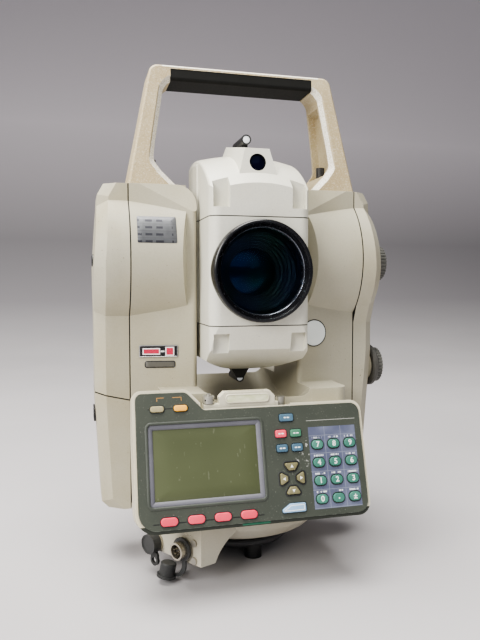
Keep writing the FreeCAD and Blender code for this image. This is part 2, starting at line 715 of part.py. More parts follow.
def plate_level():
    """Cast housing with its glass vial, and the adjusting nut and pivot screw at its ends."""
    left = LEVEL_X - LEVEL_HALF
    right = LEVEL_X + LEVEL_HALF
    front = LEVEL_Y - LEVEL_DEEP
    base_top = LEVEL_LOW + 3.4
    body = prism([at(left, front, LEVEL_LOW), at(right, front, LEVEL_LOW), at(right, front, LEVEL_TOP - 3.2),
                  at(right - 3.2, front, LEVEL_TOP), at(left + 3.2, front, LEVEL_TOP),
                  at(left, front, LEVEL_TOP - 3.2)], Y * 2 * LEVEL_DEEP)
    vial = rod(at(left + 6, LEVEL_Y, LEVEL_TOP - 3.4), X, 2.4, 2 * LEVEL_HALF - 12)
    window = block(left + 6, right - 6, LEVEL_Y - 1.8, LEVEL_Y + 1.8, LEVEL_TOP - 3.4, LEVEL_TOP + 1)
    body = body.cut(vial).cut(window)
    post = rod(at(NUT_X, LEVEL_Y, LEVEL_LOW), Z, 1.5, LEVEL_TOP - LEVEL_LOW - 1)
    nut = tube(at(NUT_X, LEVEL_Y, base_top + 0.4), Z, 3.6, 1.5, 4.6)
    for i in range(4):
        hole = rod(at(NUT_X + 1.0, LEVEL_Y, base_top + 2.7), X, 0.6, 5)
        hole.rotate(at(NUT_X, LEVEL_Y, 0), Z, 90 * i + 45)
        nut = nut.cut(hole)
    pivot = rod(at(PIVOT_X, LEVEL_Y, LEVEL_LOW), Z, 2.8, 6.0)
    arm = block(NUT_X - 3.5, left, LEVEL_Y - 2.8, LEVEL_Y + 2.8, LEVEL_LOW, base_top)
    tail = block(right, PIVOT_X, LEVEL_Y - 2.5, LEVEL_Y + 2.5, LEVEL_LOW, base_top)
    return [fuse(body, arm.cut(post), tail.cut(pivot)), vial, nut, post, pivot]


# ---------------------------------------------------------------- inside and rear
def main_board():
    board = block(-52, 52, DECK_FRONT + 7, DECK_FRONT + 8.6, 48, 88)
    chips = [block(-40 + 26 * i, -28 + 26 * i, DECK_FRONT + 8.6, DECK_FRONT + 11, 58 + 6 * (i % 2), 70 + 6 * (i % 2))
             for i in range(4)]
    return [fuse(board, *chips)]


PLUMMET_Z = 70.0
PLUMMET_R = 11.0


def plummet_seat():
    return rod(at(0, DECK_REAR - 6, PLUMMET_Z), Y, 8.0 + RUNNING_GAP, 8)


def plummet_focus_ring():
    barrel = rod(at(0, DECK_REAR - 5, PLUMMET_Z), Y, 8.0, 6.0)
    grip = ribbed(at(0, DECK_REAR + 1, PLUMMET_Z), Y, PLUMMET_R, 12.0, 28, 0.6)
    eye = cone(at(0, DECK_REAR + 13, PLUMMET_Z), Y, 9.0, 7.5, 6.0)
    ring = fuse(barrel, grip, eye)
    return [ring.cut(cone(at(0, DECK_REAR + 14, PLUMMET_Z), Y, 3.0, 6.0, 5.1))]


# ---------------------------------------------------------------- clamps and fine motion
KNOB_SHAFT_R = 6.0
CLAMP_START = RIGHT_OUT + 3.4
BOSS_R = 11.0


def clamp_ring(height):
    """A flat clamp ring with a finger tab, around the fine screw's collar."""
    ring = turned([(COLLAR_R + RUNNING_GAP, 0), (CLAMP_R - 1, 0), (CLAMP_R, 1), (CLAMP_R, 3.2), (CLAMP_R - 1, 4.2),
                   (COLLAR_R + RUNNING_GAP, 4.2)], at(CLAMP_START, 0, height), X)
    tab = block(CLAMP_START, CLAMP_START + 4.2, 9.0, 19.0, height - 4, height + 4)
    tab = soft(tab, 2.0, lambda e: along(e, X))
    return [ring.fuse(tab.cut(rod(at(CLAMP_START - 1, 0, height), X, CLAMP_R - 2, 8)))]


COLLAR_R = 8.0


def fine_knob(height, length):
    start = at(CLAMP_START, 0, height)
    shaft = rod(at(SEAM_X + 2, 0, height), X, KNOB_SHAFT_R, CLAMP_START - SEAM_X - 2)
    collar = rod(start, X, COLLAR_R, 4.6)
    grip = ribbed(start + X * 4.6, X, KNOB_R, length, 32, 0.6)
    cap = cone(start + X * (4.6 + length), X, KNOB_R - 1.0, KNOB_R - 2.5, 1.0)
    return [fuse(shaft, collar, grip, cap)]


# ---------------------------------------------------------------- telescope
def footprint(low, high, inset=0.0, end=0.0):
    """Plan of the telescope between two heights: a wide front part and a slimmer rear."""
    front = block(inset - TUBE_X, TUBE_X - inset, TUBE_FRONT + end, SHOULDER_Y - inset, low, high)
    rear = block(inset - REAR_X, REAR_X - inset, 0, TUBE_REAR - end, low, high)
    if inset:
        return fuse(front, rear)
    return fuse(soft(front, 7.0, lambda e: along(e, Z)), soft(rear, 7.0, lambda e: along(e, Z) and middle(e).y > 10))


def trunnion_pad(low, high):
    """The part of the wide flank that stands a little proud round the trunnion."""
    pad = block(-TUBE_X - PAD, TUBE_X + PAD, -20, SHOULDER_Y, low, high)
    pad = soft(pad, 7.0, lambda e: along(e, Z) and middle(e).y > 10)
    return bevel(pad, PAD, lambda e: along(e, Z) and middle(e).y < -10)


PAD = 0.9


def telescope_body():
    case = fuse(footprint(TUBE_LOW, TUBE_HIGH), trunnion_pad(TUBE_LOW, TUBE_HIGH))
    hollow = footprint(TUBE_LOW - 1, TUBE_HIGH + 1, 4.0, 6.0)
    barrel = rod(at(0, TUBE_FRONT + 2, TILT_Z), Y, CELL_R + 3.5, TUBE_REAR - TUBE_FRONT - 4)
    bosses = rod(at(-TUBE_X + 1, 0, TILT_Z), X, 16, 2 * TUBE_X - 2).cut(rod(at(0, -60, TILT_Z), Y, CELL_R + 2, 120))
    case = fuse(case.cut(hollow), barrel, bosses)
    case = case.cut(rod(at(0, -40, TILT_Z), Y, CELL_R + RUNNING_GAP, 80))
    case = case.cut(rod(at(0, TUBE_FRONT - 1, TILT_Z), Y, LENS_R, 24.1))
    case = case.cut(rod(at(0, 30, TILT_Z), Y, 9.0, 40))
    case = case.cut(axle_stubs_cut())
    return [case.cut(rod(at(0, TUBE_FRONT - 1, TILT_Z), Y, RING_R - 2, 5.0))]


def axle_stubs_cut():
    return rod(at(-TUBE_X - 3, 0, TILT_Z), X, AXLE_R, 12).fuse(rod(at(TUBE_X - 9, 0, TILT_Z), X, AXLE_R, 12))


def cover_slots():
    """Screw slots at the front and rear corners of both covers."""
    slots = []
    for x, y0 in ((25.7, TUBE_FRONT - 2), (15.0, TUBE_REAR - 6)):
        for side in (-x, x):
            slots.append(block(side - 5.2, side + 5.2, y0, y0 + 8, 237, 275))
            slots.append(block(side - 5.2, side + 5.2, y0, y0 + 8, 125, 157.5))
    return Part.makeCompound(slots)


def crowned_drum(side_r, crown_r, half):
    """A drum about the trunnion axis, with its rim arched across its width."""
    edges = [Part.makeLine(at(-half, 0, 0), at(-half, 0, side_r)),
             Part.Arc(at(-half, 0, side_r), at(0, 0, crown_r), at(half, 0, side_r)).toShape(),
             Part.makeLine(at(half, 0, side_r), at(half, 0, 0)),
             Part.makeLine(at(half, 0, 0), at(-half, 0, 0))]
    drum = Part.Face(Part.Wire(edges)).revolve(at(0, 0, 0), X, 360)
    drum.translate(at(0, 0, TILT_Z))
    return Part.makeCompound([drum]).Solids[0]


WINDOW_Z = 267.0
WINDOW_R = 5.6


def boss_ring(z, y0, x0, y1, x1):
    """Four corners of the window boss at a height: its front half width x0 at y0, its rear half width x1 at y1."""
    return Part.makePolygon([at(-x0, y0, z), at(x0, y0, z), at(x1, y1, z), at(-x1, y1, z), at(-x0, y0, z)])


def window_boss():
    """The tapered block on the top cover that holds a round window in its front."""
    boss = Part.makeLoft([boss_ring(256, -52.4, 13.4, 2, 20), boss_ring(286, -47.2, 5.6, -10, 10.6)], True, True)
    roof = prism([at(-30, -60, 273.9), at(-30, 10, 288.1), at(-30, 10, 300), at(-30, -60, 300)], X * 60)
    return boss.cut(roof)


def top_cover():
    low = TUBE_HIGH + 0.2
    drum = soft(crowned_drum(COVER_SIDE_R, COVER_CROWN_R, TUBE_X), 2.0, lambda e: isinstance(e.Curve, Part.Circle))
    pad = soft(crowned_drum(COVER_SIDE_R - 1, COVER_CROWN_R - 1, TUBE_X + PAD), 4.0,
               lambda e: isinstance(e.Curve, Part.Circle)).common(trunnion_pad(low, 290))
    dome = fuse(drum.common(footprint(low, 290)), pad, window_boss())
    return dome.cut(rod(at(0, -58, WINDOW_Z), Y, WINDOW_R, 10))


def bottom_cover():
    high = TUBE_LOW - 0.2
    x = -TUBE_X
    side = prism([at(x, TUBE_FRONT, high), at(x, TUBE_FRONT + 3.5, 147), (at(x, -32, 133), at(x, 0, 129.5)),
                  (at(x, 32, 133), at(x, 54, 147)), at(x, TUBE_REAR, high)], X * 2 * TUBE_X)
    arch = prism([at(-TUBE_X, -70, high), at(-TUBE_X, -70, 139), (at(0, -70, 129.5), at(TUBE_X, -70, 139)),
                  at(TUBE_X, -70, high)], Y * 140)
    return side.common(arch).common(footprint(120, high))


def telescope_covers():
    barrel = rod(at(0, TUBE_FRONT + 1, TILT_Z), Y, CELL_R + 5, TUBE_REAR - TUBE_FRONT - 2)
    inside = crowned_drum(COVER_SIDE_R - WALL, COVER_CROWN_R - WALL, TUBE_X - WALL)
    inside = inside.common(footprint(TILT_Z, 290, WALL, 8.5))
    trough = footprint(143, TUBE_LOW, WALL, 17.0)
    return [top_cover().cut(inside).cut(cover_slots()).cut(barrel),
            bottom_cover().cut(trough).cut(cover_slots()).cut(barrel)]


def objective_ring():
    profile = [(LENS_R - 1.5, 0), (RING_R - 2, 0), (RING_R - 2, 4.0), (RING_R, 4.0), (RING_R, 10.5),
               (RING_R - 1.4, 11.0), (RING_R - 4, 11.0), (LENS_R - 1.5, 8.0)]
    return [turned(profile, at(0, TUBE_FRONT + 4.0, TILT_Z), Y * -1)]


def objective_lens():
    cell = rod(at(0, TUBE_FRONT + 4.1, TILT_Z), Y, LENS_R - 0.1, 7.0)
    ball_r = 60.0
    ball = Part.makeSphere(ball_r, at(0, TUBE_FRONT + 4.1 + ball_r, TILT_Z))
    return [cell.common(ball)]


def focus_lens():
    cell = tube(at(0, -8, TILT_Z), Y, CELL_R, CELL_R - 4, 14)
    glass = rod(at(0, -3, TILT_Z), Y, CELL_R - 4, 4)
    return [fuse(cell, glass)]


SIGHT_Z = 287.4
SIGHT_R = 3.3
LOW_SIGHT_Z = 121.2


def peep_sights():
    """A sighting tube on the window boss and another under the telescope."""
    top = rod(at(0, -22, SIGHT_Z), Y, SIGHT_R, 26)
    foot = block(-2.0, 2.0, -18, -10, 278, SIGHT_Z - 2)
    low = rod(at(0, -4, LOW_SIGHT_Z), Y, 3.0, 22)
    bracket = prism([at(-8.5, -5, 131), at(8.5, -5, 131), at(2.5, -5, LOW_SIGHT_Z), at(-2.5, -5, LOW_SIGHT_Z)],
                    Y * 10)
    return [top.fuse(foot).cut(window_boss()), low.fuse(bracket.cut(bottom_cover()))]


def trunnion_axle_and_circle():
    reach = 72.0
    left = rod(at(-reach, 0, TILT_Z), X, AXLE_R, reach - TUBE_X + 8)
    right = rod(at(TUBE_X - 8, 0, TILT_Z), X, AXLE_R, reach - TUBE_X + 8)
    circle = tube(at(-71.5, 0, TILT_Z), X, 17.5, AXLE_R, 3.0)
    return [left, right, circle]


def focus_ring():
    start = at(0, TUBE_REAR + 0.4, TILT_Z)
    ring = ribbed(start, Y, 25.0, 13.0, 44, 0.7)
    return [ring.cut(rod(start, Y, 11.0 + RUNNING_GAP, 13.0))]


def eyepiece_ring():
    neck = rod(at(0, TUBE_REAR - 8, TILT_Z), Y, 9.0 - RUNNING_GAP, 10)
    barrel = rod(at(0, TUBE_REAR, TILT_Z), Y, 11.0, 14.2)
    grip = ribbed(at(0, TUBE_REAR + 14.2, TILT_Z), Y, 15.0, 9.0, 30, 0.6)
    eye = cone(at(0, TUBE_REAR + 23.2, TILT_Z), Y, 13.0, 12.0, 7.0)
    shape = fuse(neck, barrel, grip, eye)
    return [shape.cut(cone(at(0, TUBE_REAR + 24.0, TILT_Z), Y, 4.0, 10.0, 6.3))]


# ---------------------------------------------------------------- everything
def everything():
    nodes = {
        "base_plate": base_plate(),
        "lug_pins": lug_pins(),
        "spindle_and_circle": spindle_and_circle(),
        "yoke_frame": yoke_frame(),
        "side_covers": side_covers(),
        "lower_housing": lower_housing(),
        "sockets": sockets(),
        "socket_caps": socket_caps(),
        "case_screws": case_screws(),
        "handle_frame": handle_frame(),
        "handle_grip": handle_grip(),
        "panel_housing": panel_housing_shell(),
        "panel_face": panel_face(),
        "display_glass": display_glass(),
        "plate_level": plate_level(),
        "main_board": main_board(),
        "plummet_focus_ring": plummet_focus_ring(),
        "battery_pack": battery_pack(),
        "battery_latch": battery_latch(),
        "vertical_clamp_ring": clamp_ring(UPPER_KNOB_Z),
        "vertical_fine_knob": fine_knob(UPPER_KNOB_Z, 6.0),
        "horizontal_clamp_ring": clamp_ring(LOWER_KNOB_Z),
        "horizontal_fine_knob": fine_knob(LOWER_KNOB_Z, 4.0),
        "telescope_body": telescope_body(),
        "telescope_covers": telescope_covers(),
        "objective_ring": objective_ring(),
        "objective_lens": objective_lens(),
        "focus_lens": focus_lens(),
        "peep_sights": peep_sights(),
        "trunnion_axle_and_circle": trunnion_axle_and_circle(),
        "focus_ring": focus_ring(),
        "eyepiece_ring": eyepiece_ring(),
    }
    for name, outline in panel_keys():
        nodes[name] = [key_solid(outline)]
    return nodes


def main():
    os.makedirs("parts", exist_ok=True)
    for name, solids in everything().items():
        for solid in solids:
            if not solid.isValid() or not solid.Solids:
                raise ValueError(f"{name} has a bad solid")
        shape = Part.makeCompound([piece for solid in solids for piece in solid.Solids])
        shape.exportStep(f"parts/{name}.step")


main()
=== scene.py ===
import json
import math
import random

import bmesh
import bpy
from mathutils import Matrix, Vector
from mathutils.bvhtree import BVHTree
from mathutils.geometry import convex_hull_2d


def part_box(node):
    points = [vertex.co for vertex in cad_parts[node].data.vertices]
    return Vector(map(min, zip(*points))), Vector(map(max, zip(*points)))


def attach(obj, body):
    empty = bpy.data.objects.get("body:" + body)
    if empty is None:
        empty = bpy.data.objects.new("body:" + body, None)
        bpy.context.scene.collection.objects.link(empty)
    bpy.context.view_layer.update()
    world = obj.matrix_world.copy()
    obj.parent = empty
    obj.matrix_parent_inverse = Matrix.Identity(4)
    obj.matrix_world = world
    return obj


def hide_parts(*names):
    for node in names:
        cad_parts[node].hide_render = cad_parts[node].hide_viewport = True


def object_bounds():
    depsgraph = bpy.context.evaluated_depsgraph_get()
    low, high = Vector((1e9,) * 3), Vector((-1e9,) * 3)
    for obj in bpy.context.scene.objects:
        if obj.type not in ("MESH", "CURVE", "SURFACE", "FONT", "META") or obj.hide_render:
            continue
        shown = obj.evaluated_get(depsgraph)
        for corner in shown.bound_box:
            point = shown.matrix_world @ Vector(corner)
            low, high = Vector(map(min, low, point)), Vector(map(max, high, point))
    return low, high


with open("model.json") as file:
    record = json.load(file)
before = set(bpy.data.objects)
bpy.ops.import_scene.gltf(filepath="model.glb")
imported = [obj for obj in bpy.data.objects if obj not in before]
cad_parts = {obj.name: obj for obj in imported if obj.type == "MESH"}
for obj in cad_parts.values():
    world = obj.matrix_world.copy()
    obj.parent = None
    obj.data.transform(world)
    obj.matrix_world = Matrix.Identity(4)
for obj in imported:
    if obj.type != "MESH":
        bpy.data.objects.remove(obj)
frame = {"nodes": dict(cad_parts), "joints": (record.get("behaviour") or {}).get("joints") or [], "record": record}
cad_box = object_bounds()
nodes = frame["nodes"]
joints = {joint["name"]: joint for joint in frame["joints"]}
random.seed(7)
MM = 0.001
X = Vector((1, 0, 0))
Y = Vector((0, 1, 0))
Z = Vector((0, 0, 1))


# ---------------------------------------------------------------- places taken from the frame
def joint_axis(name):
    return Vector(joints[name]["axis"]).normalized()


def centre_of(node):
    low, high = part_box(node)
    return (low + high) / 2


OUT = -joint_axis("key_mode_press")
UP = OUT.cross(X)
FACE = centre_of("display_glass") + X * 38.6 * MM + OUT * 2.2 * MM
TILT = Vector(joints["telescope_tilt"]["pos_m"])


def on_face(u, v, height=0.0):
    """Point at u across and v up the keyboard face, height above it, all in millimetres."""
    return FACE + (X * u + UP * v + OUT * height) * MM


def face_coordinates(point):
    away = (point - FACE) / MM
    return away.dot(X), away.dot(UP), away.dot(OUT)


# ---------------------------------------------------------------- materials
class Finish:
    """One procedural material, with its textures in millimetres of the object's own space."""

    def __init__(self, name):
        self.material = bpy.data.materials.new(name)
        self.material.use_nodes = True
        self.tree = self.material.node_tree
        self.tree.nodes.clear()
        output = self.node("ShaderNodeOutputMaterial")
        self.surface = self.node("ShaderNodeBsdfPrincipled")
        self.tree.links.new(self.surface.outputs[0], output.inputs["Surface"])
        place = self.node("ShaderNodeTexCoord").outputs["Object"]
        self.space = self.vector("MULTIPLY", place, (1 / MM, 1 / MM, 1 / MM))

    def node(self, kind, **settings):
        made = self.tree.nodes.new(kind)
        for key, value in settings.items():
            setattr(made, key, value)
        return made

    def put(self, node, name, value):
        if isinstance(value, bpy.types.NodeSocket):
            self.tree.links.new(value, node.inputs[name])
        else:
            node.inputs[name].default_value = value

    def set(self, name, value):
        if isinstance(value, tuple) and len(value) == 3 and name != "Normal":
            value = (*value, 1.0)
        self.put(self.surface, name, value)

    def vector(self, operation, a, b):
        made = self.node("ShaderNodeVectorMath", operation=operation)
        self.put(made, 0, a)
        self.put(made, 1, b)
        return made.outputs["Value"] if operation in ("DOT_PRODUCT", "LENGTH") else made.outputs[0]

    def math(self, operation, a, b=0.0, clamp=False):
        made = self.node("ShaderNodeMath", operation=operation, use_clamp=clamp)
        self.put(made, 0, a)
        self.put(made, 1, b)
        return made.outputs[0]

    def times(self, *values):
        total = values[0]
        for value in values[1:]:
            total = self.math("MULTIPLY", total, value)
        return total

    def within(self, value, middle, half):
        return self.math("LESS_THAN", self.math("ABSOLUTE", self.math("SUBTRACT", value, middle)), half)

    def noise(self, scale, detail=2.0, stretch=(1, 1, 1)):
        made = self.node("ShaderNodeTexNoise")
        self.put(made, "Vector", self.vector("MULTIPLY", self.space, stretch))
        self.put(made, "Scale", scale)
        self.put(made, "Detail", detail)
        return made.outputs["Fac"]

    def between(self, value, low, high):
        made = self.node("ShaderNodeMapRange", clamp=True)
        self.put(made, "Value", value)
        self.put(made, "From Min", low)
        self.put(made, "From Max", high)
        return made.outputs["Result"]

    def mix(self, factor, a, b):
        made = self.node("ShaderNodeMix", data_type="RGBA")
        self.put(made, "Factor", factor)
        for name, value in (("A", a), ("B", b)):
            socket = [i for i in made.inputs if i.name == name and i.type == "RGBA"][0]
            if isinstance(value, bpy.types.NodeSocket):
                self.tree.links.new(value, socket)
            else:
                socket.default_value = (*value, 1.0)
        return [o for o in made.outputs if o.type == "RGBA"][0]

    def edges(self, radius):
        """1 at a sharp edge and 0 away from it."""
        soft = self.node("ShaderNodeBevel", samples=6)
        self.put(soft, "Radius", radius * MM)
        true = self.node("ShaderNodeNewGeometry").outputs["Normal"]
        return self.between(self.vector("DOT_PRODUCT", soft.outputs[0], true), 0.985, 0.80)

    def bump(self, height, depth, strength=1.0):
        made = self.node("ShaderNodeBump")
        self.put(made, "Height", height)
        self.put(made, "Distance", depth * MM)
        self.put(made, "Strength", strength)
        self.set("Normal", made.outputs[0])

    def along(self, axis):
        parts = self.node("ShaderNodeSeparateXYZ")
        self.put(parts, 0, self.space)
        return parts.outputs[axis]

    def colour(self):
        """What feeds the base colour so far."""
        return self.surface.inputs["Base Color"].links[0].from_socket


def shade(colour, factor):
    return tuple(channel * factor for channel in colour)


SEAM_X = 80.15            # joint between a standard and its cover
BATTERY_TOP = 111.65      # joint above the battery, at x = -80; it rises outwards
BATTERY_SLOPE = 0.232
TUBE_JOINTS = (231.5, 162.4)
DIRT_BLACK = (0.018, 0.017, 0.015)
LOW_RIM_V = -34.0         # the keyboard's rim is dark below this height and this far back
LOW_RIM_DEPTH = 7.0


def case_seams(f):
    """Dirt in the joints between the standards, their covers and the battery."""
    x, z = f.along("X"), f.along("Z")
    upright = f.within(f.math("ABSOLUTE", x), SEAM_X, 0.42)
    slope = f.times(f.math("SUBTRACT", f.math("ABSOLUTE", x), 80.0), BATTERY_SLOPE)
    slope = f.math("ADD", slope, BATTERY_TOP)
    level = f.times(f.within(z, slope, 0.45), f.math("LESS_THAN", x, -79.8))
    return f.math("ADD", upright, level, clamp=True)


def tube_seams(f):
    """Dirt in the joints between the telescope's case and its covers."""
    z = f.along("Z")
    high, low = [f.within(z, joint, 0.32) for joint in TUBE_JOINTS]
    return f.math("ADD", high, low, clamp=True)


def painted(name, colour, rough=0.45, wear=None, flecks=0.5, grain=0.05, dirt=0.5, tint=(1.0, 0.93, 0.78),
            seams=None):
    """Baked paint: fine texture, faint yellowing, small dark flecks, and bright rubbed edges."""
    f = Finish(name)
    aged = tuple(c * t * 0.86 for c, t in zip(colour, tint))
    base = f.mix(f.times(f.between(f.noise(0.022, 4.0), 0.42, 0.72), dirt), colour, aged)
    base = f.mix(f.between(f.noise(0.9, 3.0), 0.35, 0.75), base, f.mix(0.06, base, (0, 0, 0)))
    smear = f.between(f.noise(0.05, 5.0, (1, 1, 0.25)), 0.60, 0.80)
    base = f.mix(f.times(smear, 0.20 * dirt), base, (0.16, 0.13, 0.09))
    dots = f.between(f.noise(0.75, 1.0), 0.745, 0.775)
    patch = f.between(f.noise(0.03, 2.0), 0.45, 0.6)
    base = f.mix(f.times(dots, patch, flecks), base, (0.09, 0.075, 0.055))
    rubbed = f.times(f.edges(0.7), f.between(f.noise(0.25, 3.0), 0.35, 0.6), 0.75)
    base = f.mix(rubbed, base, wear or tuple(min(1.0, c * 1.25) for c in colour))
    if seams:
        base = f.mix(seams(f), base, DIRT_BLACK)
    f.set("Base Color", base)
    f.set("Roughness", f.math("ADD", rough, f.times(f.noise(0.4, 3.0), 0.14)))
    f.set("Specular IOR Level", 0.35)
    f.bump(f.math("ADD", f.noise(2.4, 3.0), f.times(f.noise(0.7, 2.0), 0.5)), grain)
    return f


def moulded(name, colour, rough=0.5, grain=0.03, wear=0.35, dust=0.25):
    """Moulded plastic or rubber with a fine grain, a little dust and paler edges."""
    f = Finish(name)
    pale = tuple(min(1.0, c * 1.6 + 0.04) for c in colour)
    base = f.mix(f.times(f.between(f.noise(0.06, 4.0), 0.45, 0.75), dust), colour, pale)
    base = f.mix(f.times(f.between(f.noise(1.3, 2.0), 0.62, 0.72), dust * 0.8), base, pale)
    base = f.mix(f.times(f.edges(0.35), wear), base, tuple(min(1.0, c * 2.0 + 0.10) for c in colour))
    f.set("Base Color", base)
    f.set("Roughness", f.math("ADD", rough, f.times(f.noise(0.5, 3.0), 0.18)))
    f.bump(f.noise(3.0, 3.0), grain)
    return f


def metal(name, colour, rough=0.28, brushed=(1, 1, 1), worn=0.3):
    """Machined or plated metal with fine marks and a dulled film."""
    f = Finish(name)
    dull = shade(colour, 0.55)
    base = f.mix(f.times(f.between(f.noise(0.12, 4.0), 0.45, 0.7), worn), colour, dull)
    f.set("Base Color", base)
    f.set("Metallic", 0.95)
    marks = f.noise(1.6, 4.0, brushed)
    f.set("Roughness", f.math("ADD", rough, f.times(marks, 0.22)))
    f.bump(marks, 0.02)
    return f


def dress(finish, *names):
    for name in names:
        for slot in nodes[name].material_slots:
            slot.material = finish.material


body_paint = painted("body_paint_worn", (0.425, 0.402, 0.318), seams=case_seams)
cover_paint = painted("cover_paint_worn", (0.445, 0.422, 0.338), flecks=0.8, dirt=0.7, seams=case_seams)
housing_paint = painted("housing_paint_worn", (0.50, 0.475, 0.395), flecks=0.6)


def bezel_finish():
    """Cream rim of the keyboard housing; its lower edge is dark like the face."""
    f = painted("bezel_paint_worn", (0.60, 0.565, 0.445), rough=0.38, flecks=0.3)
    away = f.vector("SUBTRACT", f.space, tuple(FACE / MM))
    low = f.math("LESS_THAN", f.vector("DOT_PRODUCT", away, tuple(UP)), LOW_RIM_V)
    front = f.math("GREATER_THAN", f.vector("DOT_PRODUCT", away, tuple(OUT)), -LOW_RIM_DEPTH)
    f.set("Base Color", f.mix(f.times(low, front), f.colour(), (0.040, 0.044, 0.036)))
    return f


telescope_paint = painted("telescope_paint_clean", (0.660, 0.650, 0.575), rough=0.32, flecks=0.25, dirt=0.3,
                          seams=tube_seams)
level_paint = painted("level_paint_worn", (0.66, 0.625, 0.50), rough=0.4, flecks=0.3)


def handle_finish():
    """Yellowed moulding with a speckled texture, rubbed pale on its inner bevels."""
    f = Finish("handle_yellowed")
    amber, cream, pale = (0.40, 0.315, 0.180), (0.50, 0.425, 0.275), (0.74, 0.70, 0.58)
    base = f.mix(f.between(f.noise(0.03, 4.0), 0.35, 0.7), amber, cream)
    base = f.mix(f.times(f.between(f.noise(1.1, 4.0), 0.50, 0.66), 0.35), base, pale)
    base = f.mix(f.times(f.between(f.noise(0.9, 2.0), 0.64, 0.70), 0.45), base, (0.20, 0.15, 0.085))
    across = f.math("ABSOLUTE", f.along("X"))
    leg = f.math("SUBTRACT", across, f.math("MULTIPLY", f.math("SUBTRACT", 272.0, f.along("Z")), 0.16))
    normal = f.node("ShaderNodeSeparateXYZ")
    f.put(normal, 0, f.node("ShaderNodeNewGeometry").outputs["True Normal"])
    slanted = f.within(f.math("ABSOLUTE", normal.outputs["Y"]), 0.70, 0.14)
    worn = f.times(slanted, f.math("LESS_THAN", leg, 66.0), f.between(f.noise(1.9, 4.0), 0.34, 0.52))
    base = f.mix(f.times(worn, 0.8), base, (0.93, 0.91, 0.84))
    base = f.mix(f.times(f.edges(0.6), f.between(f.noise(0.6, 3.0), 0.40, 0.6), 0.7), base,
                 (0.85, 0.82, 0.72))
    f.set("Base Color", base)
    f.set("Roughness", 0.52)
    f.bump(f.noise(1.5, 4.0), 0.10)
    return f


def face_finish():
    """Dark green keyboard plate with its printed fields, lines and plain marks."""
    f = Finish("panel_face_printed")
    green = (0.046, 0.053, 0.042)
    away = f.vector("SUBTRACT", f.space, tuple(FACE / MM))
    u = f.vector("DOT_PRODUCT", away, tuple(X))
    v = f.vector("DOT_PRODUCT", away, tuple(UP))

    def area(u0, u1, v0, v1):
        return f.times(f.within(u, (u0 + u1) / 2, (u1 - u0) / 2), f.within(v, (v0 + v1) / 2, (v1 - v0) / 2))

    base = f.mix(f.times(f.between(f.noise(0.05, 5.0), 0.4, 0.75), 0.35), green, (0.076, 0.082, 0.064))
    base = f.mix(f.times(f.between(f.noise(1.2, 2.0), 0.66, 0.72), 0.4), base, (0.25, 0.25, 0.22))
    field = area(26.8, 58.4, -32.9, 16.9)
    slate = f.mix(f.between(f.noise(0.07, 3.0), 0.4, 0.7), (0.085, 0.095, 0.155), (0.150, 0.165, 0.240))
    base = f.mix(field, base, slate)
    cell_u = f.math("SUBTRACT", f.math("MODULO", f.math("SUBTRACT", u, 26.55), 10.9), 5.45)
    cell_v = f.math("SUBTRACT", f.math("MODULO", f.math("ADD", v, 32.5), 11.0), 5.5)
    grid = f.math("ADD", f.within(f.math("ABSOLUTE", cell_u), 5.45, 0.16),
                  f.within(f.math("ABSOLUTE", cell_v), 5.5, 0.16), clamp=True)
    base = f.mix(f.times(field, grid, 0.5), base, (0.30, 0.32, 0.38))
    dashes = f.math("GREATER_THAN", f.noise(1.5, 0.0, (1, 0.05, 0.05)), 0.47)
    marks = f.times(field, f.within(cell_v, 4.25, 0.5), f.within(cell_u, 0.2, 3.3), dashes)
    base = f.mix(f.times(marks, 0.85), base, (0.74, 0.76, 0.78))
    base = f.mix(f.times(area(26.1, 59.1, 20.85, 21.15), 0.8), base, (0.50, 0.50, 0.47))
    bracket = f.math("ADD", area(-67.4, -63.0, 39.3, 39.7), area(-57.8, -52.2, 39.3, 39.7), clamp=True)
    bracket = f.math("ADD", bracket, area(-67.4, -67.0, 37.4, 39.6), clamp=True)
    bracket = f.math("ADD", bracket, area(-52.6, -52.2, 37.4, 39.6), clamp=True)
    base = f.mix(f.times(bracket, 0.8), base, (0.50, 0.25, 0.06))
    grooves = f.math("ADD", area(-72.8, -47.9, 32.6, 33.1), area(-72.1, -5.6, -33.3, -32.7), clamp=True)
    # The grooves are coloured near-black as painted shade inside them, on top of their bump.
    base = f.mix(grooves, base, (0.012, 0.014, 0.013))
    scuff = f.times(f.within(u, 22.5, 5.5), f.within(v, 1.0, 8.0), f.between(f.noise(0.45, 6.0), 0.58, 0.66))
    base = f.mix(f.times(scuff, 0.7), base, (0.55, 0.55, 0.52))
    base = f.mix(f.times(f.edges(0.5), f.between(f.noise(0.3, 3.0), 0.4, 0.6), 0.6), base, (0.30, 0.32, 0.28))
    f.set("Base Color", base)
    f.set("Roughness", f.math("ADD", 0.36, f.times(f.noise(0.3, 4.0), 0.22)))
    height = f.math("SUBTRACT", f.noise(2.6, 3.0), f.times(grooves, 4.0))
    f.bump(height, 0.04)
    return f


def telescope_case_finish():
    """White paint outside, and blackened inside the tube."""
    f = painted("telescope_case_paint", (0.660, 0.650, 0.575), rough=0.32, flecks=0.25, dirt=0.3,
                seams=tube_seams)
    outside = f.colour()
    away = f.vector("SUBTRACT", f.space, tuple(TILT / MM))
    flat = f.vector("LENGTH", f.vector("MULTIPLY", away, (1, 0, 1)), (0, 0, 0))
    inside = f.math("LESS_THAN", flat, 30.6)
    f.set("Base Color", f.mix(inside, outside, (0.006, 0.006, 0.007)))
    return f


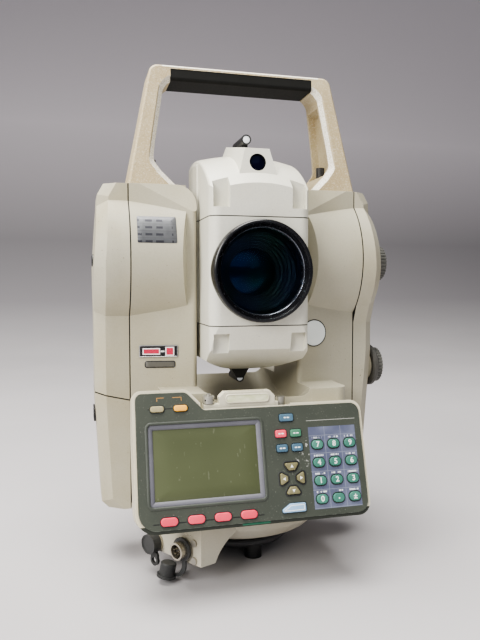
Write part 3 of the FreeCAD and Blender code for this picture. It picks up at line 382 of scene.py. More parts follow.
handle_yellow = handle_finish()
black_plastic = moulded("black_plastic", (0.018, 0.018, 0.019), rough=0.38)
knob_dark = moulded("knob_dark_worn", (0.085, 0.084, 0.074), rough=0.42, wear=0.5, dust=0.4)
clamp_dark = moulded("clamp_dark_worn", (0.065, 0.062, 0.055), rough=0.45, wear=0.6, dust=0.5)
rubber = moulded("rubber_grey", (0.030, 0.031, 0.031), rough=0.40, dust=0.25)
grip_finish = moulded("grip_grey_mat", (0.010, 0.010, 0.009), rough=0.62, wear=0.06, dust=0.04)
grip_finish.set("Specular IOR Level", 0.2)
plate_black = moulded("plate_black_satin", (0.034, 0.034, 0.037), rough=0.32, wear=0.5)
chrome = metal("socket_plating", (0.46, 0.43, 0.36), rough=0.18)
steel = metal("steel_ground", (0.56, 0.55, 0.52), rough=0.30, brushed=(1, 1, 0.1))
board_green = moulded("circuit_board_green", (0.02, 0.11, 0.05), rough=0.35)

dress(body_paint, "yoke_frame")
dress(cover_paint, "side_covers", "battery_pack")
dress(housing_paint, "lower_housing")
dress(bezel_finish(), "panel_housing")
dress(telescope_paint, "telescope_covers")
dress(telescope_case_finish(), "telescope_body")
dress(handle_yellow, "handle_frame")
dress(grip_finish, "handle_grip")
dress(face_finish(), "panel_face")
dress(plate_black, "base_plate")
dress(steel, "spindle_and_circle", "trunnion_axle_and_circle")
# The lug pins are coloured near-black: partly a dark metal, partly painted shade for the shadow under the base.
dress(metal("lug_blackened_painted_shade", (0.06, 0.06, 0.062), rough=0.35), "lug_pins")
dress(chrome, "sockets")
dress(rubber, "socket_caps")
dress(board_green, "main_board")
dress(black_plastic, "peep_sights", "focus_ring", "eyepiece_ring", "plummet_focus_ring", "battery_latch")
dress(knob_dark, "vertical_fine_knob", "horizontal_fine_knob")
dress(clamp_dark, "vertical_clamp_ring", "horizontal_clamp_ring")


def screws_finish():
    """Plated case screws; the two lock screws in the handle are blackened."""
    f = metal("screws_mixed", (0.46, 0.44, 0.39), rough=0.30)
    high = f.math("GREATER_THAN", f.along("Z"), 240.0)
    f.set("Base Color", f.mix(high, f.colour(), (0.03, 0.028, 0.026)))
    f.set("Metallic", f.math("SUBTRACT", 0.95, f.times(high, 0.9)))
    return f


def level_finish():
    """Cream casting; the adjusting nut and the pivot screw are dull brass."""
    f = painted("level_casting", (0.66, 0.625, 0.50), rough=0.4, flecks=0.3)
    base = f.colour()
    low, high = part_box("plate_level")
    nut = f.times(f.math("LESS_THAN", f.along("X"), low.x / MM + 7.2),
                  f.math("GREATER_THAN", f.along("Z"), low.z / MM + 3.6))
    base = f.mix(nut, base, (0.42, 0.41, 0.37))
    pivot = f.math("GREATER_THAN", f.along("X"), high.x / MM - 5.4)
    base = f.mix(pivot, base, (0.34, 0.33, 0.29))
    f.set("Base Color", base)
    f.set("Metallic", f.times(f.math("ADD", nut, pivot, clamp=True), 0.85))
    return f


dress(screws_finish(), "case_screws")
dress(level_finish(), "plate_level")


def lens_finish(name, colour, gloss=0.35):
    """Dark coated glass with faint blue and green painted reflections mixed into its colour."""
    f = Finish(name)
    # Noise patches tinted greener: painted blue and green reflections in the glass colour.
    painted_glint_patches = f.between(f.noise(0.05, 1.0), 0.35, 0.7)
    f.set("Base Color", f.mix(painted_glint_patches, colour, (colour[0] * 0.6, colour[1] * 1.5, colour[2] * 0.8)))
    f.set("Roughness", 0.02)
    f.set("Specular IOR Level", gloss)
    f.set("Specular Tint", (0.45, 0.62, 1.0))
    return f


dress(lens_finish("inner_lens_coated_painted_glints", (0.006, 0.010, 0.016)), "focus_lens")


# ---------------------------------------------------------------- mesh helpers
def make_piece(name, verts, faces, finish, body, slot, smooth=35):
    mesh = bpy.data.meshes.new(name)
    mesh.from_pydata([tuple(v) for v in verts], [], faces)
    work = bmesh.new()
    work.from_mesh(mesh)
    bmesh.ops.remove_doubles(work, verts=work.verts, dist=1e-7)
    bmesh.ops.recalc_face_normals(work, faces=work.faces)
    work.to_mesh(mesh)
    work.free()
    mesh.shade_smooth()
    mesh.set_sharp_from_angle(angle=math.radians(smooth))
    mesh.materials.append(finish.material)
    piece = bpy.data.objects.new(name, mesh)
    bpy.context.scene.collection.objects.link(piece)
    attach(piece, body)
    return piece


def turned(name, profile, centre, axis, finish, body, slot, count=96, smooth=35, closed=True):
    """Radius and travel pairs, in millimetres, turned about an axis through centre."""
    axis = axis.normalized()
    side = axis.orthogonal().normalized()
    other = axis.cross(side)
    verts, faces = [], []
    for radius, travel in profile:
        for i in range(count):
            angle = 2 * math.pi * i / count
            ring = side * math.cos(angle) + other * math.sin(angle)
            verts.append(centre + (ring * radius + axis * travel) * MM)
    rows = len(profile)
    for row in range(rows if closed else rows - 1):
        after = (row + 1) % rows
        for i in range(count):
            j = (i + 1) % count
            faces.append((row * count + i, row * count + j, after * count + j, after * count + i))
    return make_piece(name, verts, faces, finish, body, slot, smooth)


def resampled(outline, count=72):
    """The closed outline again with evenly spaced points."""
    lengths = [math.dist(outline[i], outline[(i + 1) % len(outline)]) for i in range(len(outline))]
    total = sum(lengths)
    points, index, gone = [], 0, 0.0
    for k in range(count):
        want = total * k / count
        while gone + lengths[index] < want:
            gone += lengths[index]
            index += 1
        share = (want - gone) / lengths[index]
        a, b = outline[index], outline[(index + 1) % len(outline)]
        points.append((a[0] + (b[0] - a[0]) * share, a[1] + (b[1] - a[1]) * share))
    return points


def offset(outline, distance):
    """The outline moved outwards by distance; it runs anticlockwise."""
    moved = []
    count = len(outline)
    for i in range(count):
        before, after = outline[i - 1], outline[(i + 1) % count]
        tangent = Vector((after[0] - before[0], after[1] - before[1])).normalized()
        moved.append((outline[i][0] + tangent.y * distance, outline[i][1] - tangent.x * distance))
    return moved


def rounded_box(u, v, width, height, radius, steps=10):
    points = []
    for cu, cv, start in ((1, 1, 0), (-1, 1, 90), (-1, -1, 180), (1, -1, 270)):
        for i in range(steps + 1):
            angle = math.radians(start + 90 * i / steps)
            points.append((u + cu * (width / 2 - radius) + radius * math.cos(angle),
                           v + cv * (height / 2 - radius) + radius * math.sin(angle)))
    return points


def pillow(name, outline, levels, place, finish, body, slot, crown=0.0, smooth=40):
    """A capped stack of outlines: each level is an inset and a height, from the foot to the top."""
    verts, faces = [], []
    count = len(outline)
    for inset, height in levels:
        for u, v in offset(outline, -inset):
            verts.append(place(u, v, height))
    for row in range(len(levels) - 1):
        for i in range(count):
            j = (i + 1) % count
            faces.append((row * count + i, row * count + j, (row + 1) * count + j, (row + 1) * count + i))
    top = offset(outline, -levels[-1][0])
    mu = sum(u for u, _ in top) / count
    mv = sum(v for _, v in top) / count
    last = len(levels) - 1
    for share in (0.66, 0.33):
        lift = crown * (1 - share * share)
        for u, v in top:
            verts.append(place(mu + (u - mu) * share, mv + (v - mv) * share, levels[-1][1] + lift))
        for i in range(count):
            j = (i + 1) % count
            faces.append((last * count + i, last * count + j, (last + 1) * count + j, (last + 1) * count + i))
        last += 1
    verts.append(place(mu, mv, levels[-1][1] + crown))
    for i in range(count):
        faces.append((last * count + i, last * count + (i + 1) % count, len(verts) - 1))
    faces.append(tuple(reversed(range(count))))
    return make_piece(name, verts, faces, finish, body, slot, smooth)


def frame_ring(name, outline, profile, place, finish, body, slot, smooth=40):
    """A closed frame along an outline: profile is a loop of (offset, height) pairs."""
    verts, faces = [], []
    count = len(outline)
    for shift, height in profile:
        for u, v in offset(outline, shift):
            verts.append(place(u, v, height))
    rows = len(profile)
    for row in range(rows):
        after = (row + 1) % rows
        for i in range(count):
            j = (i + 1) % count
            faces.append((row * count + i, row * count + j, after * count + j, after * count + i))
    return make_piece(name, verts, faces, finish, body, slot, smooth)


def node_tree_of(name):
    mesh = nodes[name].data
    return BVHTree.FromPolygons([v.co for v in mesh.vertices], [p.vertices for p in mesh.polygons])


def laid_on(tree, reach=-0.2, toward=Y):
    """A place function: u and v are X and Z in millimetres, laid on a surface seen from the front."""

    def place(u, v, height):
        start = Vector((u * MM, reach, v * MM))
        hit, normal, _, _ = tree.ray_cast(start, toward)
        if normal.dot(toward) > 0:
            normal = -normal
        return hit + normal * height * MM

    return place


# ---------------------------------------------------------------- keys
def key_outline(node):
    """Outline of a key's top on the keyboard face, anticlockwise."""
    spots = [face_coordinates(v.co) for v in nodes[node].data.vertices]
    top = max(h for _, _, h in spots)
    flat = [Vector((u, v)) for u, v, h in spots if h > top - 0.05]
    hull = [tuple(flat[i]) for i in convex_hull_2d(flat)]
    area = sum(hull[i - 1][0] * hull[i][1] - hull[i][0] * hull[i - 1][1] for i in range(len(hull)))
    return resampled(hull if area > 0 else hull[::-1]), top


def key_finish(name, colour, rough=0.42):
    return moulded(name, colour, rough=rough, grain=0.02, wear=0.3, dust=0.35)


KEY_FINISHES = {
    "key_orange": key_finish("key_orange_rubber", (0.86, 0.44, 0.07)),
    "key_olive": key_finish("key_olive_rubber", (0.165, 0.150, 0.078)),
    "key_red": key_finish("key_red_rubber", (0.72, 0.065, 0.105)),
    "key_blue": key_finish("key_blue_grey_rubber", (0.055, 0.115, 0.17)),
    "key_green": key_finish("key_green_rubber", (0.05, 0.17, 0.10)),
    "key_number_green": key_finish("key_number_rubber", (0.045, 0.165, 0.125)),
}
enter_blue = key_finish("key_enter_rubber", (0.27, 0.42, 0.60))
light_key = key_finish("key_light_rubber", (0.33, 0.29, 0.17))
print_white = moulded("print_white", (0.78, 0.80, 0.80), rough=0.5)
groove_dark = moulded("key_surround_dark", (0.016, 0.018, 0.018), rough=0.5, wear=0.15)
key_ring_painted_shade = moulded("key_surround_painted_shade", (0.026, 0.032, 0.028), rough=0.5, wear=0.15)
slot_of = {row["node"]: row["material_slot"] for row in frame["record"]["subparts"]}
keys = sorted(name for name in nodes if name.startswith("key_"))
ARROWS = ("key_up", "key_down", "key_left", "key_right")
for key in keys:
    outline, top = key_outline(key)
    finish = KEY_FINISHES[slot_of[key]]
    if key == "key_enter":
        finish = enter_blue
    if key == "key_backlight":
        finish = light_key
    levels = [(0.0, top - 4.2), (0.0, top - 0.55), (0.08, top - 0.30), (0.24, top - 0.14), (0.50, top - 0.09)]
    cap = pillow(key + "_cap", outline, levels, on_face, finish, key, slot_of[key], crown=0.09)
    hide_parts(key)
    # The arrow keys get a black outline ring; the other keys get a dark green ring of painted shade around them.
    wide = 1.25 if key in ARROWS else 0.72
    profile = [(0.27, -0.15), (wide, -0.15), (wide, 0.08), (wide - 0.15, 0.16), (0.40, 0.16), (0.27, 0.08)]
    frame_ring(key + "_surround", outline, profile, on_face, groove_dark if key in ARROWS else key_ring_painted_shade,
               "alidade", "panel_green")


def face_matrix(point):
    turn = Matrix((X, UP, OUT)).transposed().to_4x4()
    return Matrix.Translation(point) @ turn


def printed(name, text, key, size, shift=(0.0, 0.0)):
    """Plain raised digits on a key."""
    outline, top = key_outline(key)
    mu = (min(u for u, _ in outline) + max(u for u, _ in outline)) / 2
    mv = (min(v for _, v in outline) + max(v for _, v in outline)) / 2
    curve = bpy.data.curves.new(name, "FONT")
    curve.body = text
    curve.size = size * MM
    curve.align_x = "CENTER"
    curve.align_y = "CENTER"
    curve.extrude = 0.03 * MM
    curve.offset = 0.10 * MM
    scratch = bpy.data.objects.new(name + "_curve", curve)
    bpy.context.scene.collection.objects.link(scratch)
    bpy.context.view_layer.update()
    mesh = bpy.data.meshes.new_from_object(scratch.evaluated_get(bpy.context.evaluated_depsgraph_get()))
    bpy.data.objects.remove(scratch)
    mesh.name = name
    mesh.transform(face_matrix(on_face(mu + shift[0], mv + shift[1], top - 0.03)))
    mesh.materials.clear()
    mesh.materials.append(print_white.material)
    piece = bpy.data.objects.new(name, mesh)
    bpy.context.scene.collection.objects.link(piece)
    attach(piece, key)


for digit in range(10):
    printed(f"digit_{digit}", str(digit), f"key_{digit}", 4.6)
printed("decimal_point", ".", "key_point", 6.0, (0.0, 1.2))
printed("plus_minus", "±", "key_sign", 4.6)


def key_bar(name, key, bars):
    """Plain short bars that stand for a key's legend."""
    outline, top = key_outline(key)
    mu = (min(u for u, _ in outline) + max(u for u, _ in outline)) / 2
    mv = (min(v for _, v in outline) + max(v for _, v in outline)) / 2
    for i, (du, dv, width) in enumerate(bars):
        bar = resampled(rounded_box(mu + du, mv + dv, width, 0.75, 0.3, 4), 28)
        pillow(f"{name}_{i}", bar, [(0.0, top - 0.25), (0.0, top + 0.0), (0.08, top + 0.02)], on_face,
               print_white, key, slot_of[key], smooth=60)


for key in ("key_mode", "key_function", "key_shift", "key_delete", "key_clear"):
    key_bar(key + "_mark", key, [(-1.1, 0.0, 1.5), (0.9, 0.0, 1.7)])


def key_middle(key):
    outline, top = key_outline(key)
    spots = list(zip(*outline))
    return (min(spots[0]) + max(spots[0])) / 2, (min(spots[1]) + max(spots[1])) / 2, top


for key, turn in (("key_up", 90), ("key_left", 180), ("key_down", 270), ("key_right", 0)):
    mu, mv, top = key_middle(key)
    corners = [(mu + 1.15 * math.cos(math.radians(turn + step)),
                mv + 1.15 * math.sin(math.radians(turn + step))) for step in (0, 120, 240)]
    pillow(key + "_mark", resampled(corners, 30), [(0.0, top - 0.2), (0.0, top + 0.01), (0.06, top + 0.03)],
           on_face, print_white, key, slot_of[key], smooth=60)
outline, top = key_outline("key_enter")
frame_ring("key_enter_border", outline, [(-0.95, top - 0.3), (-0.95, top + 0.03), (-1.35, top + 0.03),
                                         (-1.35, top - 0.3)], on_face, print_white, "key_enter", "key_blue")


# ---------------------------------------------------------------- display
SCREEN_U, SCREEN_V = -38.6, 0.0
lavender = moulded("display_frame_lavender", (0.120, 0.120, 0.142), rough=0.42, wear=0.25)
rim_green = moulded("display_rim_green", (0.048, 0.055, 0.045), rough=0.40, wear=0.5)


def lcd_finish():
    """Olive liquid crystal behind a dusty, lightly scratched window."""
    f = Finish("lcd_olive")
    base = f.mix(f.between(f.noise(0.02, 2.0), 0.3, 0.7), (0.062, 0.072, 0.035), (0.082, 0.094, 0.048))
    dust = f.between(f.noise(0.45, 3.0), 0.74, 0.80)
    base = f.mix(f.times(dust, 0.4), base, (0.36, 0.37, 0.30))
    hair = f.between(f.noise(0.5, 2.0, (1, 0.06, 0.35)), 0.685, 0.70)
    base = f.mix(f.times(hair, 0.18), base, (0.30, 0.31, 0.24))
    f.set("Base Color", base)
    f.set("Roughness", f.math("ADD", 0.42, f.times(dust, 0.3)))
    f.set("Specular IOR Level", 0.3)
    f.set("Coat Weight", 0.12)
    f.set("Coat Roughness", 0.2)
    return f


window = resampled(rounded_box(SCREEN_U, SCREEN_V, 69.2, 46.8, 1.4), 160)
frame_ring("display_rim", window, [(0.0, -0.3), (0.1, 0.25), (0.5, 0.55), (1.2, 0.55), (1.75, 0.3),
                                   (1.9, -0.3)], on_face, rim_green, "alidade", "panel_green")
frame_ring("display_frame", window, [(0.0, -2.9), (0.0, -0.35), (-0.35, -0.22), (-2.2, -0.75), (-2.75, -1.3),
                                     (-2.75, -2.9)], on_face, lavender, "alidade", "display")
glass = pillow("display_cell", resampled(rounded_box(SCREEN_U, SCREEN_V, 64.2, 41.8, 0.6), 120),
               [(0.0, -2.95), (0.0, -1.5), (0.2, -1.42)], on_face, lcd_finish(), "alidade", "display")
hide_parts("display_glass")
tab = moulded("edge_tab_green", (0.02, 0.12, 0.07), rough=0.4)
pillow("edge_tab", resampled(rounded_box(-10.5, -37.6, 17.5, 1.2, 0.5), 60),
       [(0, -1.6), (0, -0.9), (0.3, -0.75)], on_face, tab, "alidade", "panel_green")


# ---------------------------------------------------------------- plates and the disc on the standards
def silver_label_finish():
    """Brushed silver foil with faint plain rules."""
    f = Finish("label_silver_foil")
    z = f.along("Z")
    rules = f.within(f.math("SUBTRACT", f.math("MODULO", z, 4.6), 2.3), 0.0, 0.22)
    rows = f.times(f.within(f.math("SUBTRACT", f.math("MODULO", f.math("ADD", z, 2.3), 4.6), 2.3), 0.0, 0.75),
                   f.math("GREATER_THAN", f.noise(0.55, 0.0, (1, 0.02, 0.02)), 0.5))
    base = f.mix(f.times(f.between(f.noise(0.3, 4.0), 0.4, 0.7), 0.4), (0.130, 0.134, 0.142),
                 (0.080, 0.084, 0.094))
    base = f.mix(f.times(rows, 0.85), base, (0.035, 0.035, 0.045))
    base = f.mix(f.times(rules, 0.6), base, (0.09, 0.09, 0.10))
    f.set("Base Color", base)
    f.set("Metallic", 0.55)
    f.set("Roughness", f.math("ADD", 0.32, f.times(f.noise(1.2, 3.0, (0.2, 1, 1)), 0.2)))
    f.bump(f.noise(0.5, 3.0), 0.03)
    return f


yoke_tree = node_tree_of("yoke_frame")
on_yoke = laid_on(yoke_tree)
FOIL = [(0.0, -0.05), (0.0, 0.10), (0.08, 0.14)]
# x, z, width, height and corner radius
LABEL = (-63.0, 224.0, 25.5, 17.5, 0.8)
BADGE = (-61.4, 144.3, 25.4, 8.0, 0.7)
BLANK_PLATE = (-60.5, 135.5, 19.5, 4.0, 1.1)
DISC = (48.2, 154.4, 9.2)         # x, z and radius
pillow("inspection_label", resampled(rounded_box(*LABEL), 140), FOIL, on_yoke,
       silver_label_finish(), "alidade", "body_paint", smooth=60)
badge_black = moulded("badge_black_gloss", (0.006, 0.006, 0.008), rough=0.2, wear=0.1, dust=0.05)


def badge_finish():
    """Gloss black strip with a plain red bar and a short pale one."""
    f = Finish("badge_printed")
    x, z = f.along("X"), f.along("Z")

    def bar(middle_x, half_x, half_z):
        return f.times(f.within(x, middle_x, half_x), f.within(z, 144.2, half_z))

    base = f.mix(f.between(f.noise(0.4, 3.0), 0.4, 0.7), (0.006, 0.006, 0.008), (0.014, 0.014, 0.016))
    base = f.mix(f.math("ADD", bar(-66.2, 5.7, 2.2), bar(-54.2, 2.9, 3.0), clamp=True), base,
                 (0.86, 0.80, 0.80))
    base = f.mix(f.math("ADD", bar(-66.2, 5.0, 1.5), bar(-54.2, 2.2, 2.3), clamp=True), base,
                 (0.52, 0.03, 0.07))
    base = f.mix(bar(-58.9, 1.3, 0.5), base, (0.70, 0.70, 0.70))
    f.set("Base Color", base)
    f.set("Roughness", f.math("ADD", 0.18, f.times(f.noise(0.8, 3.0), 0.2)))
    return f


badge_rim = metal("badge_rim_silver", (0.40, 0.40, 0.40), rough=0.25)
badge = resampled(rounded_box(*BADGE), 120)
pillow("plain_badge", badge, [(0.0, -0.1), (0.0, 0.45), (0.25, 0.6)], on_yoke, badge_finish(), "alidade",
       "latch_black")
frame_ring("plain_badge_rim", badge, [(0.0, -0.1), (0.0, 0.62), (-0.45, 0.74), (-0.6, 0.62), (-0.6, -0.1)],
           on_yoke, badge_rim, "alidade", "screw_steel")
plate_grey = metal("number_plate_blank", (0.20, 0.195, 0.175), rough=0.35)
plate = resampled(rounded_box(*BLANK_PLATE), 90)
pillow("blank_plate", plate, [(0.0, -0.1), (0.0, 0.25), (0.2, 0.35)], on_yoke, plate_grey, "alidade",
       "screw_steel")
frame_ring("blank_plate_rim", plate, [(0.35, -0.1), (0.35, 0.3), (0.0, 0.5), (-0.4, 0.3), (-0.4, -0.1)],
           on_yoke, badge_black, "alidade", "latch_black")
disc_white = moulded("disc_white", (0.80, 0.84, 0.82), rough=0.35, wear=0.1)
circle = [(DISC[0] + DISC[2] * math.cos(math.radians(3 * i)),
           DISC[1] + DISC[2] * math.sin(math.radians(3 * i))) for i in range(120)]
pillow("round_disc", circle, [(0.35, -0.1), (0.35, 0.35), (0.75, 0.5)], on_yoke, disc_white, "alidade",
       "body_paint", crown=0.1)
frame_ring("round_disc_edge", circle, [(0.40, -0.1), (0.40, 0.25), (-0.3, 0.25), (-0.3, -0.1)], on_yoke,
           groove_dark, "alidade", "latch_black")


# ---------------------------------------------------------------- objective, window and sights
low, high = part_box("objective_ring")
front = Vector((TILT.x, low.y, TILT.z))
ring_finish = moulded("objective_ring_black", (0.006, 0.006, 0.008), rough=0.16, wear=0.08, dust=0.0)
R = (high.x - low.x) / 2 / MM
rings = [(R - 2.2, 14.9), (R - 2.2, 11.0), (R, 11.0), (R, 1.3), (R - 0.3, 0.5), (R - 0.9, 0.06),
         (R - 1.9, 0.02), (R - 2.2, 0.5)]
for i in range(4):
    step = 2.4 + 0.58 * i
    rings += [(R - step, 0.8 + 0.55 * i), (R - step - 0.30, 1.15 + 0.55 * i),
              (R - step - 0.42, 0.9 + 0.55 * i)]
rings += [(27.75, 3.4), (27.7, 5.4), (27.7, 14.0), (R - 4.0, 14.9)]
barrel = turned("objective_barrel", rings, front, Y, ring_finish, "telescope", "ring_black", 128, 30)
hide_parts("objective_ring")
retainer = metal("retainer_polished", (0.30, 0.32, 0.37), rough=0.12, worn=0.2)
turned("lens_retainer", [(27.2, 4.6), (27.45, 3.9), (27.9, 3.5), (27.9, 5.2), (27.2, 5.2)], front, Y,
       retainer, "telescope", "ring_black", 128, 40)
lens = [(0.01, 5.4), (5.0, 5.52), (10.0, 5.88), (15.0, 6.5), (20.0, 7.4), (24.0, 8.3), (27.6, 9.3),
        (27.6, 10.6), (0.01, 10.6)]


def front_glass():
    """Thin clear front lens with a blue-green coating; the tube behind it is black."""
    f = Finish("front_lens_coated")
    f.set("Base Color", f.mix(f.between(f.noise(0.04, 1.0), 0.4, 0.6), (0.42, 0.55, 0.80),
                              (0.40, 0.66, 0.52)))
    f.set("Roughness", 0.0)
    f.set("IOR", 1.12)
    f.set("Transmission Weight", 1.0)
    f.set("Specular Tint", (0.5, 0.7, 1.0))
    return f


glass_piece = turned("front_lens", lens, front, Y, front_glass(), "telescope", "lens_glass", 128, 50)
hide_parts("objective_lens")
well_black = moulded("tube_baffle_black", (0.004, 0.004, 0.006), rough=0.42, wear=0.15, dust=0.0)
baffles = [(27.5, 11.6), (24.8, 15.0)]
for i in range(5):
    radius, depth = 23.6 - 1.8 * i, 15.4 + 2.9 * i
    baffles += [(radius, depth), (radius - 0.5, depth + 0.2), (radius - 0.5, depth + 2.6)]
baffles += [(15.4, 29.0), (24.9, 30.5)]
turned("tube_baffles", baffles, front, Y, well_black, "telescope", "ring_black", 96, 30)
deep_glass = lens_finish("deep_lens_coated_painted_glints", (0.005, 0.014, 0.026), gloss=0.6)
turned("deep_lens", [(0.01, 26.4), (6.0, 26.7), (11.0, 27.6), (15.3, 28.9), (15.3, 30.2), (0.01, 30.2)],
       front, Y, deep_glass, "telescope", "lens_glass", 96, 50)

cover_tree = node_tree_of("telescope_covers")
rim_hit, _, _, _ = cover_tree.ray_cast(Vector((0.0066, -0.2, 0.267)), Y)
mouth = Vector((0, rim_hit.y, 0.267))
window_glass = lens_finish("window_glass_dark", (0.003, 0.003, 0.012), gloss=0.15)
turned("window_pane", [(0.01, 1.6), (3.0, 1.7), (5.5, 2.3), (5.5, 4.0), (0.01, 4.0)], mouth, Y, window_glass,
       "telescope", "lens_glass", 64, 50)
turned("window_bezel", [(5.58, 0.6), (5.58, 4.2), (4.9, 4.2), (4.9, 1.4), (5.3, 0.6)], mouth, Y, ring_finish,
       "telescope", "ring_black", 64)

# Frosted sight windows; the faint emission is a painted glow for light shining through them, and the level bubble
# shares this finish.
sight_glass_with_glow = Finish("sight_window_frosted_painted_glow")
sight_glass_with_glow.set("Base Color", sight_glass_with_glow.mix(sight_glass_with_glow.between(sight_glass_with_glow.noise(0.8, 2.0), 0.4, 0.7),
                                              (0.82, 0.84, 0.86), (0.66, 0.69, 0.73)))
sight_glass_with_glow.set("Roughness", 0.18)
sight_glass_with_glow.set("Emission Color", (0.85, 0.9, 1.0))
sight_glass_with_glow.set("Emission Strength", 0.12)
low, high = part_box("peep_sights")
for name, y, z, radius in (("upper", -22.0, high.z / MM - 3.3, 3.3), ("lower", -4.0, low.z / MM + 3.0, 3.0)):
    end = Vector((0, y * MM, z * MM))
    turned(f"sight_glass_with_glow_{name}", [(0.01, -0.25), (radius - 1.2, -0.22), (radius - 0.75, 0.0),
                                   (radius - 0.75, 0.8), (0.01, 0.8)], end, Y, sight_glass_with_glow, "telescope",
           "sight_black", 48, 50)
    turned(f"sight_rim_{name}", [(radius + 0.12, -0.3), (radius + 0.12, 1.6), (radius - 0.8, 1.6),
                                 (radius - 0.8, -0.3)], end, Y, black_plastic, "telescope", "sight_black", 48)


# ---------------------------------------------------------------- connectors
start = Vector((-42.0, -70.0, 0)) * MM
end = Vector((-68.5, -31.0, 0)) * MM
run = (end - start).normalized()
facing = Vector((run.y, -run.x, 0)) * -1


def on_facet(along, height, out=0.0):
    return start + (run * along + Z * height + facing * out) * MM


mounts = {mount["name"]: mount for mount in frame["record"]["mounts"]}
data = Vector(mounts["data_socket"]["pos_m"])
insulator = moulded("socket_insulator", (0.05, 0.045, 0.04), rough=0.5)
turned("data_socket_core", [(0.01, 0.9), (0.01, 4.6), (3.3, 4.6), (3.6, 4.2), (3.6, 0.9)], data, facing,
       insulator, "alidade", "latch_black", 48)
pin_metal = metal("pin_plated", (0.42, 0.37, 0.27), rough=0.3)
for i in range(5):
    angle = math.radians(20 + 72 * i)
    spot = data + (run * 2.1 * math.cos(angle) + Z * 2.1 * math.sin(angle)) * MM
    turned(f"data_pin_{i + 1}", [(0.01, 4.5), (0.42, 4.5), (0.42, 7.2), (0.2, 7.6), (0.01, 7.6)], spot,
           facing, pin_metal, "alidade", "socket_chrome", 16, 50)
for i in range(4):
    dot = on_facet(9.6 + 2.4 * i, 31.6, -0.1)
    turned(f"facet_dot_{i + 1}", [(0.01, 0.5), (0.35, 0.45), (0.6, 0.2), (0.65, 0.0), (0.01, 0.0)], dot,
           facing, housing_paint, "alidade", "housing_paint", 20, 60)

# ---------------------------------------------------------------- level vial
low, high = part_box("plate_level")
vial_finish = Finish("vial_liquid_green")
vial_finish.set("Base Color", vial_finish.mix(vial_finish.between(vial_finish.noise(0.2, 2.0), 0.4, 0.6),
                                              (0.30, 0.42, 0.08), (0.42, 0.52, 0.16)))
vial_finish.set("Roughness", 0.08)
vial_finish.set("Coat Weight", 1.0)
vial_pale = Finish("vial_pale_liquid")
vial_pale.set("Base Color", vial_pale.mix(vial_pale.between(vial_pale.noise(0.1, 2.0, (1, 1, 3)), 0.42, 0.62),
                                          (0.62, 0.64, 0.40), (0.78, 0.77, 0.58)))
vial_pale.set("Roughness", 0.12)
vial_pale.set("Coat Weight", 0.8)
vial_x = -12.0 * MM
vial = Vector((vial_x, (low.y + high.y) / 2, high.z - 3.4 * MM))
turned("level_vial", [(0.01, -11.6), (1.7, -11.6), (2.35, -10.8), (2.38, 0), (2.35, 10.8), (1.7, 11.6),
                      (0.01, 11.6)], vial, X, vial_finish, "alidade", "level_paint", 40, 50)
# The bubble uses the sight windows' finish, with its painted glow.
turned("level_bubble", [(0.01, -3.2), (0.8, -2.8), (1.15, -1.6), (1.2, 0), (1.15, 1.6), (0.8, 2.8),
                        (0.01, 3.2)], vial + Z * 1.28 * MM, X, sight_glass_with_glow, "alidade", "level_paint", 32, 60)

front_y = low.y / MM


def on_level(u, v, height):
    return Vector((u, front_y - height, v)) * MM


pane = resampled(rounded_box(-12.0, low.z / MM + 6.6, 27.0, 4.6, 1.6), 90)
pillow("level_front_window", pane, [(0.0, -0.2), (0.0, 0.10), (0.3, 0.2)], on_level, vial_pale, "alidade",
       "level_paint")
frame_ring("level_window_rim", pane, [(0.55, -0.2), (0.55, 0.15), (0.3, 0.4), (-0.15, 0.4), (-0.15, -0.2)],
           on_level, level_paint, "alidade", "level_paint")

# ---------------------------------------------------------------- small button on the battery side cover
button_at = Vector((cad_box[0][0] + 0.1 * MM, 0, 205 * MM))
turned("cover_button", [(0.01, 0.0), (3.4, 0.0), (4.0, 0.3), (4.2, 0.8), (4.2, 2.4), (0.01, 2.4)], button_at,
       X, black_plastic, "alidade", "latch_black", 48)

# ---------------------------------------------------------------- floor, light and camera
floor_finish = Finish("studio_floor")
rise = floor_finish.along("Z")
cloth_and_painted_light = floor_finish.mix(floor_finish.between(floor_finish.noise(0.004, 3.0), 0.3, 0.7),
                         (0.43, 0.415, 0.425), (0.46, 0.445, 0.455))
# Painted light and shade: the sweep darkens between 15 mm and 130 mm up and turns lighter from 380 mm to 1.1 m.
cloth_and_painted_light = floor_finish.mix(floor_finish.between(rise, 15.0, 130.0), cloth_and_painted_light, (0.34, 0.325, 0.34))
cloth_and_painted_light = floor_finish.mix(floor_finish.between(rise, 380.0, 1100.0), cloth_and_painted_light, (0.98, 0.92, 0.96))
floor_finish.set("Base Color", cloth_and_painted_light)
floor_finish.set("Roughness", 0.75)
floor_finish.set("Specular IOR Level", 0.15)
FLOOR_DEPTH = 0.9         # flat floor behind the object, in metres
BEND = 3.2
sweep = []
for i in range(33):
    angle = math.radians(90 * i / 32)
    sweep.append((FLOOR_DEPTH + BEND * math.sin(angle), BEND - BEND * math.cos(angle)))
profile = [(-3.0, 0.0)] + sweep + [(FLOOR_DEPTH + BEND, 6.0)]
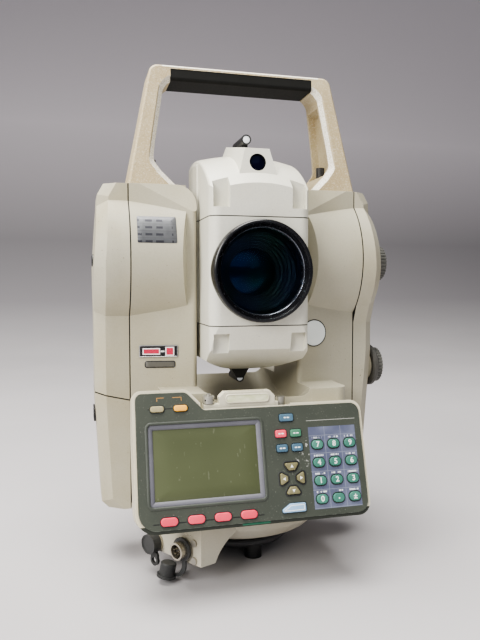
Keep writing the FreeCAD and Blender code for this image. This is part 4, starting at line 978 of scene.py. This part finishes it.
verts = [(x, y, z) for y, z in profile for x in (-4.0, 4.0)]
faces = [(2 * i, 2 * i + 1, 2 * i + 3, 2 * i + 2) for i in range(len(profile) - 1)]
mesh = bpy.data.meshes.new("studio_sweep")
mesh.from_pydata(verts, [], faces)
mesh.shade_smooth()
mesh.materials.append(floor_finish.material)
floor = bpy.data.objects.new("studio_sweep", mesh)
bpy.context.scene.collection.objects.link(floor)

bpy.context.scene.view_settings.look = "AgX - Medium High Contrast"
world = bpy.data.worlds.new("studio_air")
bpy.context.scene.world = world
world.use_nodes = True
air = world.node_tree.nodes["Background"].inputs
air["Color"].default_value = (0.88, 0.88, 0.92, 1)
air["Strength"].default_value = 0.20


def softbox(name, place, aim, size, power, colour=(1, 1, 1)):
    light = bpy.data.lights.new(name, "AREA")
    light.shape = "RECTANGLE"
    light.size, light.size_y = size
    light.energy = power
    light.color = colour
    lamp = bpy.data.objects.new(name, light)
    lamp.location = place
    lamp.rotation_euler = (Vector(aim) - Vector(place)).to_track_quat("-Z", "Y").to_euler()
    bpy.context.scene.collection.objects.link(lamp)


softbox("ceiling_light", (-0.25, -0.10, 1.7), (0, 0, 0.1), (1.4, 1.0), 68, (1.0, 0.98, 0.935))
softbox("left_light", (-1.30, -0.95, 0.95), (0, 0, 0.18), (0.9, 0.9), 36, (1.0, 0.98, 0.94))
softbox("front_fill", (0.1, -1.7, 0.9), (0, 0, 0.15), (1.4, 0.9), 3, (0.96, 0.98, 1.0))

FOCAL = 631.18            # focal length, where the picture is FRAME_HIGH high
FRAME_HIGH = 640
EYE = (-0.1147, -0.44417, 0.18915)
PITCH, ROLL, YAW = 3.29, 0.04, 14.63
camera = bpy.data.cameras.new("view")
camera.sensor_width = 36.0
camera.lens = FOCAL / FRAME_HIGH * camera.sensor_width
camera.clip_start = 0.01
eye = bpy.data.objects.new("view", camera)
eye.location = EYE
eye.rotation_euler = (math.radians(90 - PITCH), math.radians(ROLL), math.radians(-YAW))
bpy.context.scene.collection.objects.link(eye)
bpy.context.scene.camera = eye
